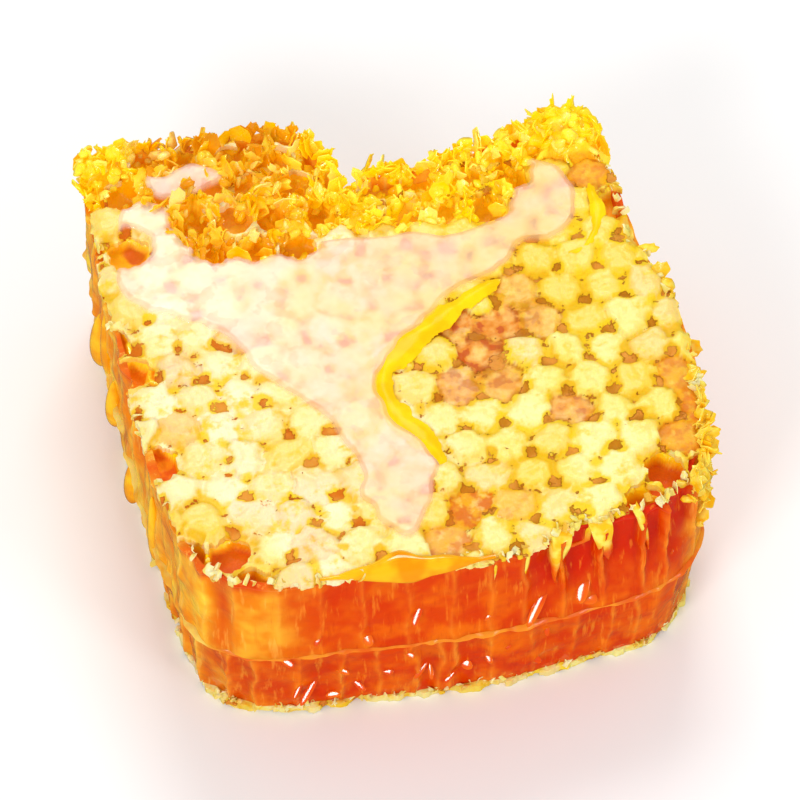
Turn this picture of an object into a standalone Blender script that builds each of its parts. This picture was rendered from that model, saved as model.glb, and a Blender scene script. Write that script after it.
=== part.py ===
"""One block of cut comb honey, lying on its lower capping.

From the table up it holds the lower wax capping, the lower honey cells, the wax midrib, the upper honey
cells and the upper wax capping. A knife cut the front and both sides straight through the cells. The back
was torn off, so the cells there stand open, and a tuft of torn wax rises at its right end.
"""

import math
import random
from collections import namedtuple

import bmesh
import bpy
from mathutils import Matrix, Vector

MM = 0.001

# The cells: a regular six-sided lattice, turned a little to the cut front.
CELL_PITCH = 5.5 * MM
CELL_REACH = CELL_PITCH / math.sqrt(3)  # from a cell's middle to its corners
LATTICE_TURN = math.radians(-8)
WALL = 0.5 * MM

# The block: half its width and depth, and the height of each layer's faces.
HALF_WIDTH = 35 * MM
HALF_DEPTH = 36.5 * MM
JOINT_GAP = 0.3 * MM
LOWER_CAPPING_TOP = 1.6 * MM
MIDRIB_UNDERSIDE = 14.0 * MM
MIDRIB_TOP = 14.9 * MM
UPPER_CELLS_TOP = 30.0 * MM
CAPPING_VALLEY = 31.3 * MM
DOME_RISE = 0.9 * MM

# The torn back: how far its open cells stand below and above the upper cells' top.
TORN_LOW = -0.6 * MM
TORN_HIGH = 2.6 * MM
TORN_CELL_DEPTH = 3.2 * MM
TUFT_MIDDLE = (0.76, 0.74)  # as shares of half the width and depth
TUFT_REACH = 5.0 * MM
TUFT_RISE = 8.2 * MM

# The cut faces: how far the honey lies back between the walls, and what leans out or in.
HONEY_HOLLOW = 0.75 * MM
DRAINED_HOLLOW = 1.9 * MM
MIDRIB_PROUD = 0.5 * MM
BASE_TUCK = 1.3 * MM
CAPPING_INSET = 0.5 * MM
CAPPING_SETBACK = 3.2 * MM  # where the capping broke off along the right of the front
RAGGED = 0.45 * MM
KNIFE_STEP = 0.25 * MM  # how closely the knife's path is followed to find the walls it crossed
SHORTEST_RUN = 1.6 * MM  # a narrower sliver of a cell is left out of the cut face
FULL_RUN = 4.0 * MM  # honey in a run this long lies back by its whole hollow
SHEET_STEP = 2.2 * MM  # between the points on a wax sheet's edge
FLAT_WITHIN = math.radians(1)

# The outline from above, counterclockwise from the cut corner at the front left, as shares of half the
# width and depth. The curve through these points is the outer face of the cells.
OUTLINE = (
    (-0.90, -0.83),  # corner cut off at the front left
    (-0.70, -0.95),
    (-0.34, -0.98),
    (0.10, -1.00),
    (0.52, -0.97),
    (0.80, -0.91),
    (0.96, -0.74),  # front right corner, rounded
    (1.02, -0.38),
    (1.02, -0.06),
    (0.95, 0.24),
    (0.93, 0.56),
    (0.86, 0.80),  # back right corner, under the tuft
    (0.58, 0.80),
    (0.26, 0.73),
    (0.03, 0.74),
    (-0.06, 0.69),  # foot of the notch
    (-0.13, 0.87),
    (-0.28, 0.99),
    (-0.62, 1.00),
    (-0.93, 1.00),
    (-1.01, 0.92),  # back left corner
    (-1.03, 0.40),
    (-1.02, -0.05),
    (-0.98, -0.56),
)

# Cells with no cap away from the tear, each named by a point inside it, in the same shares.
OPENED = (
    (-0.68, -0.89),
    (-0.80, -0.78),
    (-0.97, -0.30),
    (-0.98, 0.10),
    (-0.97, 0.52),
    (0.45, -0.92),
    (0.64, -0.86),
    (0.84, -0.72),
    (0.93, 0.40),
)

CAPPING_WAX = (0.90, 0.68, 0.16)
MIDRIB_WAX = (0.85, 0.32, 0.03)
HONEY = (0.80, 0.12, 0.006)

Column = namedtuple("Column", "point outward hollow drained")


def remove_everything():
    for obj in list(bpy.data.objects):
        bpy.data.objects.remove(obj, do_unlink=True)


def smoothstep(low, high, value):
    share = min(1.0, max(0.0, (value - low) / (high - low)))
    return share * share * (3 - 2 * share)


def on_block(share):
    """A place on the block from its shares of half the width and depth."""
    return Vector((share[0] * HALF_WIDTH, share[1] * HALF_DEPTH))


def material(name, colour, roughness):
    made = bpy.data.materials.new(name)
    made.use_nodes = True
    shader = made.node_tree.nodes["Principled BSDF"]
    shader.inputs["Base Color"].default_value = (*colour, 1)
    shader.inputs["Roughness"].default_value = roughness
    shader.inputs["Metallic"].default_value = 0
    return made


def finished(name, bm, look):
    """The mesh as a named object with its material, smooth but for its edges."""
    bmesh.ops.recalc_face_normals(bm, faces=bm.faces)
    mesh = bpy.data.meshes.new(name)
    bm.to_mesh(mesh)
    bm.free()
    mesh.shade_smooth()
    mesh.set_sharp_from_angle(angle=math.radians(38))
    mesh.materials.append(look)
    obj = bpy.data.objects.new(name, mesh)
    bpy.context.scene.collection.objects.link(obj)
    return obj


def keep_inside(obj, cutter):
    """Cuts the object off where the cutter ends."""
    cutter.hide_render = True
    cutter.display_type = "WIRE"
    cut = obj.modifiers.new("Cut to outline", "BOOLEAN")
    cut.operation = "INTERSECT"
    cut.solver = "EXACT"
    cut.object = cutter
    join = obj.modifiers.new("Join flat faces", "DECIMATE")
    join.decimate_type = "DISSOLVE"
    join.angle_limit = FLAT_WITHIN


# The lattice


def lattice(layer_shift):
    """The middles of all cells over the block and one row round it."""
    row = Vector((math.cos(LATTICE_TURN), math.sin(LATTICE_TURN))) * CELL_PITCH
    turned = LATTICE_TURN + math.radians(60)
    rise = Vector((math.cos(turned), math.sin(turned))) * CELL_PITCH
    reach = math.ceil(1.6 * HALF_DEPTH / CELL_PITCH) + 2
    middles = []
    for i in range(-reach, reach + 1):
        for j in range(-reach, reach + 1):
            middle = layer_shift + row * i + rise * j
            if abs(middle.x) < HALF_WIDTH + CELL_PITCH and abs(middle.y) < HALF_DEPTH + CELL_PITCH:
                middles.append(middle)
    return middles


def nearest(middles, place):
    return min(range(len(middles)), key=lambda k: (middles[k] - place).length_squared)


def corners_of(middle):
    """The six corners of a cell, counterclockwise."""
    angles = [LATTICE_TURN + math.radians(30 + 60 * k) for k in range(6)]
    return [middle + Vector((math.cos(a), math.sin(a))) * CELL_REACH for a in angles]


# The outline


def curve_through(stations, step):
    """Evenly spaced points on a smooth closed curve through the stations."""
    points = []
    count = len(stations)
    for k in range(count):
        before, start, end, after = (stations[(k + d) % count] for d in (-1, 0, 1, 2))
        pieces = max(1, round((end - start).length / step))
        for part in range(pieces):
            t = part / pieces
            straight = start + (end - start) * t
            pull = (end - before) * (t * (1 - t) ** 2) - (after - start) * (t * t * (1 - t))
            ease = (end - start) * (t * (1 - t) * (1 - 2 * t))
            points.append(straight + (pull / 2) - ease)
    return points


def outward_at(points, k):
    along = points[(k + 1) % len(points)] - points[k - 1]
    return Vector((along.y, -along.x)).normalized()


def tear_line(x):
    """How far back the upper capping reaches: least in the middle, where the most was torn off."""
    left = smoothstep(-0.68, -0.86, x / HALF_WIDTH)
    right = smoothstep(0.46, 0.64, x / HALF_WIDTH)
    return (0.44 + 0.34 * left + 0.22 * right) * HALF_DEPTH


def drained(place):
    """1 where honey has run out of the cut cells, at the right of the front, and 0 elsewhere."""
    front = smoothstep(-0.6 * HALF_DEPTH, -0.8 * HALF_DEPTH, place.y)
    return front * smoothstep(0.2 * HALF_WIDTH, 0.45 * HALF_WIDTH, place.x)


# The cut faces


def cut_columns(walk, middles, rng):
    """The upright lines of a cut face: two for each wall that the knife crossed, and two in the honey."""
    cell = [nearest(middles, place) for place in walk]
    crossings = [k for k in range(len(walk)) if cell[k] != cell[k - 1]]
    kept = [crossings[0]]
    for k in crossings[1:]:
        if (walk[k] - walk[kept[-1]]).length > SHORTEST_RUN:
            kept.append(k)
    if (walk[kept[-1]] - walk[kept[0]]).length < SHORTEST_RUN:
        kept.pop()
    columns = []
    for n, start in enumerate(kept):
        end = kept[(n + 1) % len(kept)]
        run = (end - start) % len(walk)
        hollow = HONEY_HOLLOW * rng.uniform(0.3, 1.2) * min(1.0, run * KNIFE_STEP / FULL_RUN)
        outward = outward_at(walk, start)
        along = Vector((-outward.y, outward.x))
        proud = rng.uniform(-0.2, 0.4) * WALL
        for side in (-0.5, 0.5):
            place = walk[start] + along * (side * WALL) + outward * proud
            columns.append(Column(place, outward, 0.0, 0.0))
        for share in (0.34, 0.68):
            k = (start + round(run * share)) % len(walk)
            empty = DRAINED_HOLLOW * drained(walk[k]) * rng.uniform(0.6, 1.0)
            columns.append(Column(walk[k], outward_at(walk, k), hollow, empty))
    return columns


def ring(bm, columns, height, lean, hollow_share, drained_share):
    verts = []
    for column in columns:
        inwards = column.hollow * hollow_share + column.drained * drained_share
        place = column.point + column.outward * (lean - inwards)
        verts.append(bm.verts.new((place.x, place.y, height)))
    return verts


def stack_of_rings(rings, bm):
    """Closes the rings into one body, from the lowest to the highest."""
    for low, high in zip(rings, rings[1:]):
        for k in range(len(low)):
            after = (k + 1) % len(low)
            bm.faces.new((low[k], low[after], high[after], high[k]))
    bm.faces.new(list(reversed(rings[0])))
    bm.faces.new(rings[-1])


def upper_cells(walk, middles, look, rng):
    """The upper layer: cut sides from below, and on top flat under its caps and open at the tear."""
    columns = cut_columns(walk, middles, rng)
    bm = bmesh.new()
    floor = MIDRIB_TOP + JOINT_GAP
    top = UPPER_CELLS_TOP + TORN_HIGH + TUFT_RISE + 2 * MM
    swell = floor + 0.3 * (UPPER_CELLS_TOP - floor)
    shoulder = floor + 0.72 * (UPPER_CELLS_TOP - floor)
    rings = [
        ring(bm, columns, floor, 0.2 * MIDRIB_PROUD, 0.3, 0.0),
        ring(bm, columns, swell, 0.0, 0.6, 0.25),
        ring(bm, columns, shoulder, 0.0, 1.0, 1.0),
        ring(bm, columns, top, 0.0, 1.0, 1.0),
    ]
    stack_of_rings(rings, bm)
    sides = finished("upper_cells_outline", bm, look)

    cells = finished("comb_upper", cell_tops(middles, floor - 2 * MM, rng), look)
    keep_inside(cells, sides)
    return cells


def bare_cells(middles):
    """For each cell, whether it has no cap: behind the tear, named as opened, or just outside one."""
    opened = set()
    for share in OPENED:
        place = on_block(share)
        opened.add(nearest(middles, place))
        for side in (-30, 30):
            beyond = place.normalized() * CELL_PITCH
            beyond.rotate(Matrix.Rotation(math.radians(side), 2))
            opened.add(nearest(middles, place + beyond))
    return [k in opened or middle.y > tear_line(middle.x) for k, middle in enumerate(middles)]


def torn_height(place, rng):
    """The height of the walls where open cells meet: jagged at the tear, and highest at the tuft."""
    if place.y < tear_line(place.x):
        return UPPER_CELLS_TOP + rng.uniform(0, 0.3) * TORN_HIGH
    tuft = (place - on_block(TUFT_MIDDLE)).length / TUFT_REACH
    return UPPER_CELLS_TOP + rng.uniform(TORN_LOW, TORN_HIGH) + TUFT_RISE * math.exp(-(tuft**2))


def cell_tops(middles, floor, rng):
    """A solid with a face for each cell: flat where it is capped, and a cup where it is open."""
    bm = bmesh.new()
    bare_ones = bare_cells(middles)
    shared = {}
    for middle, bare in zip(middles, bare_ones):
        for corner in corners_of(middle):
            key = (round(corner.x / MM, 1), round(corner.y / MM, 1))
            place, all_bare = shared.get(key, (corner, True))
            shared[key] = (place, all_bare and bare)
    verts = {}
    for key, (place, all_bare) in shared.items():
        height = torn_height(place, rng) if all_bare else UPPER_CELLS_TOP
        verts[key] = bm.verts.new((place.x, place.y, height))
    for middle, bare in zip(middles, bare_ones):
        rim = [verts[(round(c.x / MM, 1), round(c.y / MM, 1))] for c in corners_of(middle)]
        if bare:
            open_cup(bm, rim, middle, rng)
        else:
            bm.faces.new(rim)
    close_below(bm, floor)
    return bm


def open_cup(bm, rim, middle, rng):
    """A cell without its cap: the wall's inner edge, and honey some way down."""
    depth = TORN_CELL_DEPTH * rng.uniform(0.5, 1.0)
    level = min(v.co.z for v in rim) - depth
    loops = [rim]
    for inset, drop in ((WALL, None), (2 * WALL, level)):
        share = 1 - inset / CELL_REACH
        loop = []
        for corner in rim:
            place = middle + (corner.co.xy - middle) * share
            loop.append(bm.verts.new((place.x, place.y, corner.co.z if drop is None else drop)))
        loops.append(loop)
    for outer, inner in zip(loops, loops[1:]):
        for k in range(6):
            after = (k + 1) % 6
            bm.faces.new((outer[k], outer[after], inner[after], inner[k]))
    bm.faces.new(loops[-1])


def close_below(bm, floor):
    """Makes a sheet of cells a solid down to a flat floor, with any hole in the sheet going right through."""
    tops = list(bm.faces)
    rim = [edge for edge in bm.edges if edge.is_boundary]
    feet = {vert: bm.verts.new((vert.co.x, vert.co.y, floor)) for vert in list(bm.verts)}
    for face in tops:
        bm.faces.new([feet[vert] for vert in reversed(face.verts)])
    for edge in rim:
        loop = edge.link_loops[0]
        start, end = loop.vert, loop.link_loop_next.vert
        bm.faces.new((end, start, feet[start], feet[end]))


def lower_cells(walk, middles, look, rng):
    """The lower layer, whose cells are set half a cell off those above, and which leans in to the base."""
    columns = cut_columns(walk, middles, rng)
    bm = bmesh.new()
    base = LOWER_CAPPING_TOP + JOINT_GAP
    top = MIDRIB_UNDERSIDE - JOINT_GAP
    middle = base + 0.55 * (top - base)
    rings = [
        ring(bm, columns, base, -BASE_TUCK, 0.7, 0.0),
        ring(bm, columns, middle, -0.4 * BASE_TUCK, 1.0, 0.0),
        ring(bm, columns, top, -0.1 * BASE_TUCK, 0.4, 0.0),
    ]
    stack_of_rings(rings, bm)
    return finished("comb_lower", bm, look)


# The wax sheets


def ragged_sheet(name, walk, heights, leans, look, rng):
    """A thin sheet of wax to the outline, with a ragged edge."""
    bm = bmesh.new()
    torn = [rng.uniform(-RAGGED, RAGGED) for _ in walk]
    rings = []
    for height, lean in zip(heights, leans):
        verts = []
        for k, place in enumerate(walk):
            edge = place + outward_at(walk, k) * (lean + torn[k])
            verts.append(bm.verts.new((edge.x, edge.y, height)))
        rings.append(verts)
    stack_of_rings(rings, bm)
    return finished(name, bm, look)


def capping_edge(walk, rng):
    """The outline of the upper capping: a little inside the cells, and set back where it broke off."""
    edge = []
    for k, place in enumerate(walk):
        outward = outward_at(walk, k)
        setback = CAPPING_INSET + CAPPING_SETBACK * drained(place) * max(0.0, -outward.y)
        edge.append(place - outward * (setback + rng.uniform(-RAGGED, RAGGED)))
    return edge


def upper_capping(walk, middles, look, rng):
    """The upper capping: one low dome over each closed cell, cut to the block's outline."""
    bm = bmesh.new()
    closed = [middle for middle, bare in zip(middles, bare_cells(middles)) if not bare]
    verts = {}
    for middle in closed:
        rise = DOME_RISE * rng.uniform(0.45, 1.0)
        rim = []
        crown = []
        for corner in corners_of(middle):
            key = (round(corner.x / MM, 1), round(corner.y / MM, 1))
            if key not in verts:
                valley = CAPPING_VALLEY + rng.uniform(-0.15, 0.15) * DOME_RISE
                verts[key] = bm.verts.new((corner.x, corner.y, valley))
            rim.append(verts[key])
            place = middle + (corner - middle) * rng.uniform(0.5, 0.62)
            crown.append(bm.verts.new((place.x, place.y, CAPPING_VALLEY + rise)))
        for k in range(6):
            after = (k + 1) % 6
            bm.faces.new((rim[k], rim[after], crown[after], crown[k]))
        bm.faces.new(crown)
    close_below(bm, UPPER_CELLS_TOP + JOINT_GAP)
    capping = finished("capping_upper", bm, look)

    edge = capping_edge(walk, rng)
    cutter = bmesh.new()
    rings = []
    for height in (UPPER_CELLS_TOP - 2 * MM, CAPPING_VALLEY + DOME_RISE + 2 * MM):
        rings.append([cutter.verts.new((place.x, place.y, height)) for place in edge])
    stack_of_rings(rings, cutter)
    keep_inside(capping, finished("capping_outline", cutter, look))
    return capping


def build():
    remove_everything()
    rng = random.Random(7)
    stations = [on_block(share) for share in OUTLINE]
    knife_path = curve_through(stations, KNIFE_STEP)
    sheet_edge = curve_through(stations, SHEET_STEP)
    upper = lattice(Vector((0.3 * CELL_PITCH, 0.1 * CELL_PITCH)))
    lower = lattice(Vector((0.3 * CELL_PITCH, 0.1 * CELL_PITCH + CELL_REACH)))

    wax = material("capping wax", CAPPING_WAX, 0.55)
    midrib_wax = material("midrib wax", MIDRIB_WAX, 0.45)
    honey = material("honey in the comb", HONEY, 0.12)

    tucked = (-1.2 * BASE_TUCK, -0.9 * BASE_TUCK)
    proud = (MIDRIB_PROUD, MIDRIB_PROUD)
    pieces = [
        ragged_sheet("capping_lower", sheet_edge, (0.0, LOWER_CAPPING_TOP), tucked, wax, rng),
        lower_cells(knife_path, lower, honey, rng),
        ragged_sheet("midrib", sheet_edge, (MIDRIB_UNDERSIDE, MIDRIB_TOP), proud, midrib_wax, rng),
        upper_cells(knife_path, upper, honey, rng),
        upper_capping(sheet_edge, upper, wax, rng),
    ]
    block = bpy.data.objects.new("honeycomb piece", None)
    bpy.context.scene.collection.objects.link(block)
    for piece in pieces:
        piece.parent = block


build()
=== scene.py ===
import itertools
import math

import bmesh
import bpy
import numpy as np
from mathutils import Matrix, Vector
from mathutils.kdtree import KDTree


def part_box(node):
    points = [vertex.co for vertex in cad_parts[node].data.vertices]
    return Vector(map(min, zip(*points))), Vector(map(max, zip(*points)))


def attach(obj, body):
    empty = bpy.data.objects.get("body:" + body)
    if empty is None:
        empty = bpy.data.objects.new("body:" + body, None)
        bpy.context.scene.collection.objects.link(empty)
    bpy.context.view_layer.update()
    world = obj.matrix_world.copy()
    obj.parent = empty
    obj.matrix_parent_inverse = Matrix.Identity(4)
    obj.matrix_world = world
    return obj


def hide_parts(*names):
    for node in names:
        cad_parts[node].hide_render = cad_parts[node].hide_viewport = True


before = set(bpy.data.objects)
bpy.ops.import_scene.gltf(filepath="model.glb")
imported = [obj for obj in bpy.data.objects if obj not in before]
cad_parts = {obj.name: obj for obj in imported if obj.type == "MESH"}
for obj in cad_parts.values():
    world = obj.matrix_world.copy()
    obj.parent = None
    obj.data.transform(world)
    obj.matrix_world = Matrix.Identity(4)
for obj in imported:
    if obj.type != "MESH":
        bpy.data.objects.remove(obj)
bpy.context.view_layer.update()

MM = 0.001

# The cells: a regular six-sided lattice, turned a little to the cut front.
CELL_PITCH = 5.5 * MM
CELL_REACH = CELL_PITCH / math.sqrt(3)
LATTICE_TURN = math.radians(-8)
UPPER_SHIFT = (0.3 * CELL_PITCH, 0.1 * CELL_PITCH)
LOWER_SHIFT = (0.3 * CELL_PITCH, 0.1 * CELL_PITCH + CELL_REACH)

# The block: half its width and depth, and the height of each layer's faces.
HALF_WIDTH = 35 * MM
HALF_DEPTH = 36.5 * MM
LOWER_CAPPING_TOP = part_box("capping_lower")[1][2]
MIDRIB_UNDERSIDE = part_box("midrib")[0][2]
MIDRIB_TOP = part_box("midrib")[1][2]
UPPER_CELLS_TOP = 30.0 * MM
CAPPING_VALLEY = 31.3 * MM
DOME_RISE = 0.9 * MM

# How deep a pit lies where three caps meet, and how far a cell's corner is, as a share of the pitch.
PIT_DEPTH = 0.4 * MM
CORNER_SHARE = 0.577

HONEY_IOR = 1.46

# The torn back and the tuft that rises at its right end.
TORN_RISE = 2.2 * MM
CUP_DEPTH = 3.2 * MM
TUFT_MIDDLE = (0.76, 0.74)
TUFT_REACH = 5.0 * MM
CORNER_TUFT_MIDDLE = (-0.95, 0.93)
CORNER_TUFT_REACH = 3.4 * MM
CORNER_TUFT_RISE = 3.4 * MM
TUFT_TOP = 35.4 * MM

# The cut faces, the grids of the sheets, and how layers overlap.
HONEY_HOLLOW = 0.75 * MM
DRAINED_HOLLOW = 1.9 * MM
BASE_TUCK = 1.3 * MM
CAPPING_INSET = 0.15 * MM
CAPPING_SETBACK = 2.0 * MM
PATH_STEP = 0.25 * MM
CAPPING_GRID = 0.3 * MM
LOWER_CAPPING_GRID = 0.36 * MM
TORN_GRID = 0.25 * MM
HONEY_GRID = 0.32 * MM
CAP_OPENING = 0.46 * CELL_PITCH
WELL_DEPTH = 5 * MM
BLADE_DEPTH = 2.2 * MM
LEAST_WALL_GAP = 1.6 * MM
SEAL = 0.2 * MM
LAYER_SHARES = (0, 0.3, 0.72, 1)

# The camera, and the way the front's flat drops face, in degrees round the block and above its base.
VIEW_AZIMUTH, VIEW_ELEVATION = -11.5, 54
VIEW_DISTANCE = 0.72
VIEW_TARGET = (0, 0, 0.0165)
DROPS_AZIMUTH, DROPS_ELEVATION = -27, 46
DROP_STRETCH = (1.6, 1.3, 0.15)

# The outline from above, counterclockwise from the cut corner at the front left, as shares of half the
# width and depth.
OUTLINE = (
    (-0.90, -0.83), (-0.70, -0.95), (-0.34, -0.98), (0.10, -1.00), (0.52, -0.97), (0.80, -0.91),
    (0.96, -0.74), (1.02, -0.38), (1.02, -0.06), (0.95, 0.24), (0.93, 0.56), (0.86, 0.80), (0.58, 0.80),
    (0.26, 0.73), (0.03, 0.74), (-0.06, 0.69), (-0.13, 0.87), (-0.28, 0.99), (-0.62, 1.00), (-0.93, 1.00),
    (-1.01, 0.92), (-1.03, 0.40), (-1.02, -0.05), (-0.98, -0.56),
)

# Cells with no cap away from the tear, each named by a point inside it, in the same shares.
OPENED = (
    (-0.68, -0.89), (-0.80, -0.78), (-0.97, -0.30), (-0.98, 0.10), (-0.97, 0.52), (0.45, -0.92),
    (0.64, -0.86), (0.84, -0.72), (0.93, 0.40),
)

# The honey on the caps: a wide film, a patch of it on the tear, and two raised runs beside the film.
FILM = (
    (-0.90, 0.74), (-0.69, 0.72), (-0.60, 0.48), (-0.36, 0.44), (0.06, 0.42), (0.24, 0.38), (0.42, 0.43),
    (0.51, 0.50), (0.56, 0.62), (0.69, 0.64), (0.76, 0.54), (0.74, 0.38), (0.64, 0.28), (0.54, 0.29),
    (0.44, 0.20), (0.32, 0.16), (0.20, 0.10), (0.00, -0.06), (-0.13, -0.22), (-0.10, -0.36), (0.02, -0.57),
    (-0.08, -0.82), (-0.20, -0.87), (-0.28, -0.68), (-0.29, -0.52), (-0.38, -0.28), (-0.55, -0.08),
    (-0.62, 0.08), (-0.96, 0.30), (-0.96, 0.50),
)
TORN_PATCH = (
    (-0.80, 0.76), (-0.70, 0.70), (-0.58, 0.72), (-0.50, 0.78), (-0.60, 0.86), (-0.72, 0.83), (-0.80, 0.87),
)
FILM_RIM = (
    (0.41, 0.15), (0.31, 0.11), (0.21, 0.05), (0.11, -0.01), (0.01, -0.07), (-0.08, -0.14), (-0.12, -0.23),
    (-0.10, -0.34), (-0.03, -0.45), (0.02, -0.55), (0.05, -0.61),
)
PATCH_RIM = ((0.82, 0.50), (0.83, 0.41), (0.81, 0.31), (0.75, 0.23), (0.66, 0.20))

# Caps that have sunk onto their honey, and caps that honey has soaked, with how strongly.
SUNKEN = (
    (0.24, 0.06, 1.0), (0.36, 0.02, 1.0), (0.20, -0.10, 1.0), (0.33, -0.14, 1.0), (0.46, -0.08, 0.7),
    (0.26, -0.24, 0.7), (0.40, -0.28, 0.8), (0.52, -0.40, 0.8), (0.14, -0.24, 0.7), (0.30, -0.36, 0.5),
    (0.38, 0.12, 0.6), (-0.88, -0.02, 0.35), (-0.84, -0.22, 0.3), (-0.60, 0.12, 0.5), (-0.52, -0.78, 0.3),
)
SOAKED = (
    (0.13, -0.72, 1.0), (0.06, -0.86, 0.8), (0.24, -0.86, 0.5), (0.97, -0.50, 0.9), (0.99, -0.34, 0.8),
    (0.96, -0.62, 0.8), (0.88, 0.52, 0.8), (0.84, 0.64, 0.7), (0.90, 0.24, 0.4),
)

# Cut walls standing in front of the drained cells: place in shares, height, width, and how blunt they are.
BLADES = (
    (0.10, -0.99, 8.0, 1.2, 1.0),
    (0.245, -0.99, 9.5, 0.8, 2.5),
    (0.40, -0.98, 8.5, 2.4, 0.9),
    (0.50, -0.97, 6.5, 2.0, 3.0),
    (0.68, -0.95, 7.0, 0.8, 1.4),
)

# The lip of honey over the front edge, from inland to its tip: millimetres out and up, and share of its fall.
LIP_PROFILE = (
    (-2.3, 0.5, 0), (-1.7, 0.95, 0), (-0.9, 1.0, 0), (-0.1, 0.65, 0), (0.3, 0.0, 0), (0.45, -0.5, 0.3),
    (0.5, -0.6, 0.6), (0.55, -0.6, 0.85), (0.35, -0.6, 1.0),
)

# Drips down the left side: place in shares, height, and half width, half length and bulge in millimetres.
DRIPS = (
    ((-1.03, 0.50), 15.5, 1.5, 5.5, 1.7),
    ((-1.03, 0.24), 14.0, 1.2, 4.8, 1.3),
    ((-1.03, 0.36), 21.0, 0.9, 6.5, 0.9),
    ((-1.02, -0.02), 9.0, 1.2, 4.0, 1.0),
    ((-1.00, -0.40), 18.0, 0.9, 7.0, 0.8),
)

# Drops on the cut front: share of the half width, height, half width and half length in millimetres, turn.
DROPS = (
    (0.475, 19.6, 0.5, 2.1, 0), (0.48, 16.9, 1.2, 0.9, 0), (0.305, 18.6, 0.38, 2.8, -14),
    (0.12, 18.8, 0.2, 0.9, -25), (-0.14, 21.5, 0.3, 1.5, -8), (-0.33, 17.2, 0.4, 1.0, 35),
    (-0.62, 13.5, 0.3, 0.9, 70), (0.04, 7.0, 0.45, 0.5, 0), (-0.13, 7.2, 0.22, 1.1, -24),
    (-0.09, 6.8, 0.2, 0.9, 16), (-0.25, 8.2, 0.45, 0.45, 0), (-0.42, 9.6, 0.25, 0.9, 80),
    (-0.54, 5.6, 0.28, 1.9, -20), (-0.58, 6.2, 0.2, 1.2, -12), (-0.45, 3.6, 0.6, 0.35, 20),
    (-0.18, 12.0, 0.25, 0.8, 75), (0.86, 20.0, 0.4, 0.5, 0), (0.88, 13.0, 0.3, 0.45, 20),
    (0.66, 9.0, 0.35, 0.5, 0), (0.80, 7.5, 0.25, 0.8, -40), (0.30, 5.0, 0.3, 0.9, 60),
    (0.55, 3.6, 0.3, 0.8, 75), (0.42, 8.6, 0.25, 0.6, -30), (0.20, 10.5, 0.2, 0.7, -18),
    (-0.36, 5.2, 0.24, 0.9, 62), (-0.02, 4.4, 0.22, 0.8, -30), (0.12, 8.0, 0.26, 0.7, 40),
    (0.34, 11.8, 0.22, 1.0, 12), (0.62, 12.6, 0.26, 0.8, -20), (0.72, 16.4, 0.24, 1.0, 8),
    (-0.50, 18.4, 0.22, 1.0, -16),
)


# Numbers over space


def smoothstep(low, high, value):
    """0 at low and 1 at high, with an eased rise between them."""
    share = np.clip((np.asarray(value, dtype=float) - low) / (high - low), 0, 1)
    return share * share * (3 - 2 * share)


def unevenness(places, grain, seed):
    """Smooth random values between -1 and 1 over space, that change over about one grain."""
    size = 24
    table = np.random.default_rng(seed).uniform(-1, 1, (size, size, size))
    scaled = np.asarray(places) / np.asarray(grain)
    low = np.floor(scaled).astype(int)
    part = scaled - low
    part = part * part * (3 - 2 * part)
    total = np.zeros(scaled.shape[:-1])
    for corner in itertools.product((0, 1), repeat=3):
        index = (low + np.array(corner)) % size
        share = np.prod(np.where(corner, part, 1 - part), axis=-1)
        total += share * table[index[..., 0], index[..., 1], index[..., 2]]
    return total


def raised(flat_places, height=0.0):
    """Flat places with a height added as a third coordinate."""
    height = np.broadcast_to(height, flat_places.shape[:-1])
    return np.concatenate([flat_places, height[..., None]], axis=-1)


def on_block(share):
    """The place on the block that shares of its half width and half depth name."""
    return np.array((share[0] * HALF_WIDTH, share[1] * HALF_DEPTH))


def direction(azimuth, elevation):
    """The way out from the block, in degrees round it from the cut front and above its base."""
    a, e = math.radians(azimuth), math.radians(elevation)
    return Vector((math.sin(a) * math.cos(e), -math.cos(a) * math.cos(e), math.sin(e)))


def placed(name, data):
    """A new object in the scene, at the origin."""
    obj = bpy.data.objects.new(name, data)
    bpy.context.scene.collection.objects.link(obj)
    return obj


# The lattice


def lattice(shift):
    """The middles of the cells on and just around the block."""
    row = np.array((math.cos(LATTICE_TURN), math.sin(LATTICE_TURN))) * CELL_PITCH
    turned = LATTICE_TURN + math.radians(60)
    rise = np.array((math.cos(turned), math.sin(turned))) * CELL_PITCH
    reach = math.ceil(1.6 * HALF_DEPTH / CELL_PITCH) + 2
    steps = np.array(list(itertools.product(range(-reach, reach + 1), repeat=2)))
    middles = np.array(shift) + steps[:, :1] * row + steps[:, 1:] * rise
    near = (np.abs(middles[:, 0]) < HALF_WIDTH + CELL_PITCH) & (
        np.abs(middles[:, 1]) < HALF_DEPTH + CELL_PITCH
    )
    return middles[near]


def nearest(targets, places):
    """For each place, which target is nearest."""
    tree = KDTree(len(targets))
    for k, target in enumerate(targets):
        tree.insert((target[0], target[1], 0), k)
    tree.balance()
    return np.array([tree.find((x, y, 0))[1] for x, y in places])


def hex_reach(offsets):
    """How far out each offset from a cell's middle lies towards the nearest of its six walls."""
    angles = LATTICE_TURN + np.radians((0, 60, 120))
    faces = np.stack([np.cos(angles), np.sin(angles)])
    return np.abs(offsets @ faces).max(axis=-1)


def tear_line(x):
    """How far back the caps reach at each place across the block."""
    left = smoothstep(-0.68, -0.86, x / HALF_WIDTH)
    right = smoothstep(0.46, 0.64, x / HALF_WIDTH)
    return (0.44 + 0.34 * left + 0.22 * right) * HALF_DEPTH


def drained(places):
    """1 where honey has run out of the cut cells, at the right of the front, and 0 elsewhere."""
    front = smoothstep(-0.6 * HALF_DEPTH, -0.8 * HALF_DEPTH, places[..., 1])
    return front * smoothstep(0.2 * HALF_WIDTH, 0.45 * HALF_WIDTH, places[..., 0])


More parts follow.
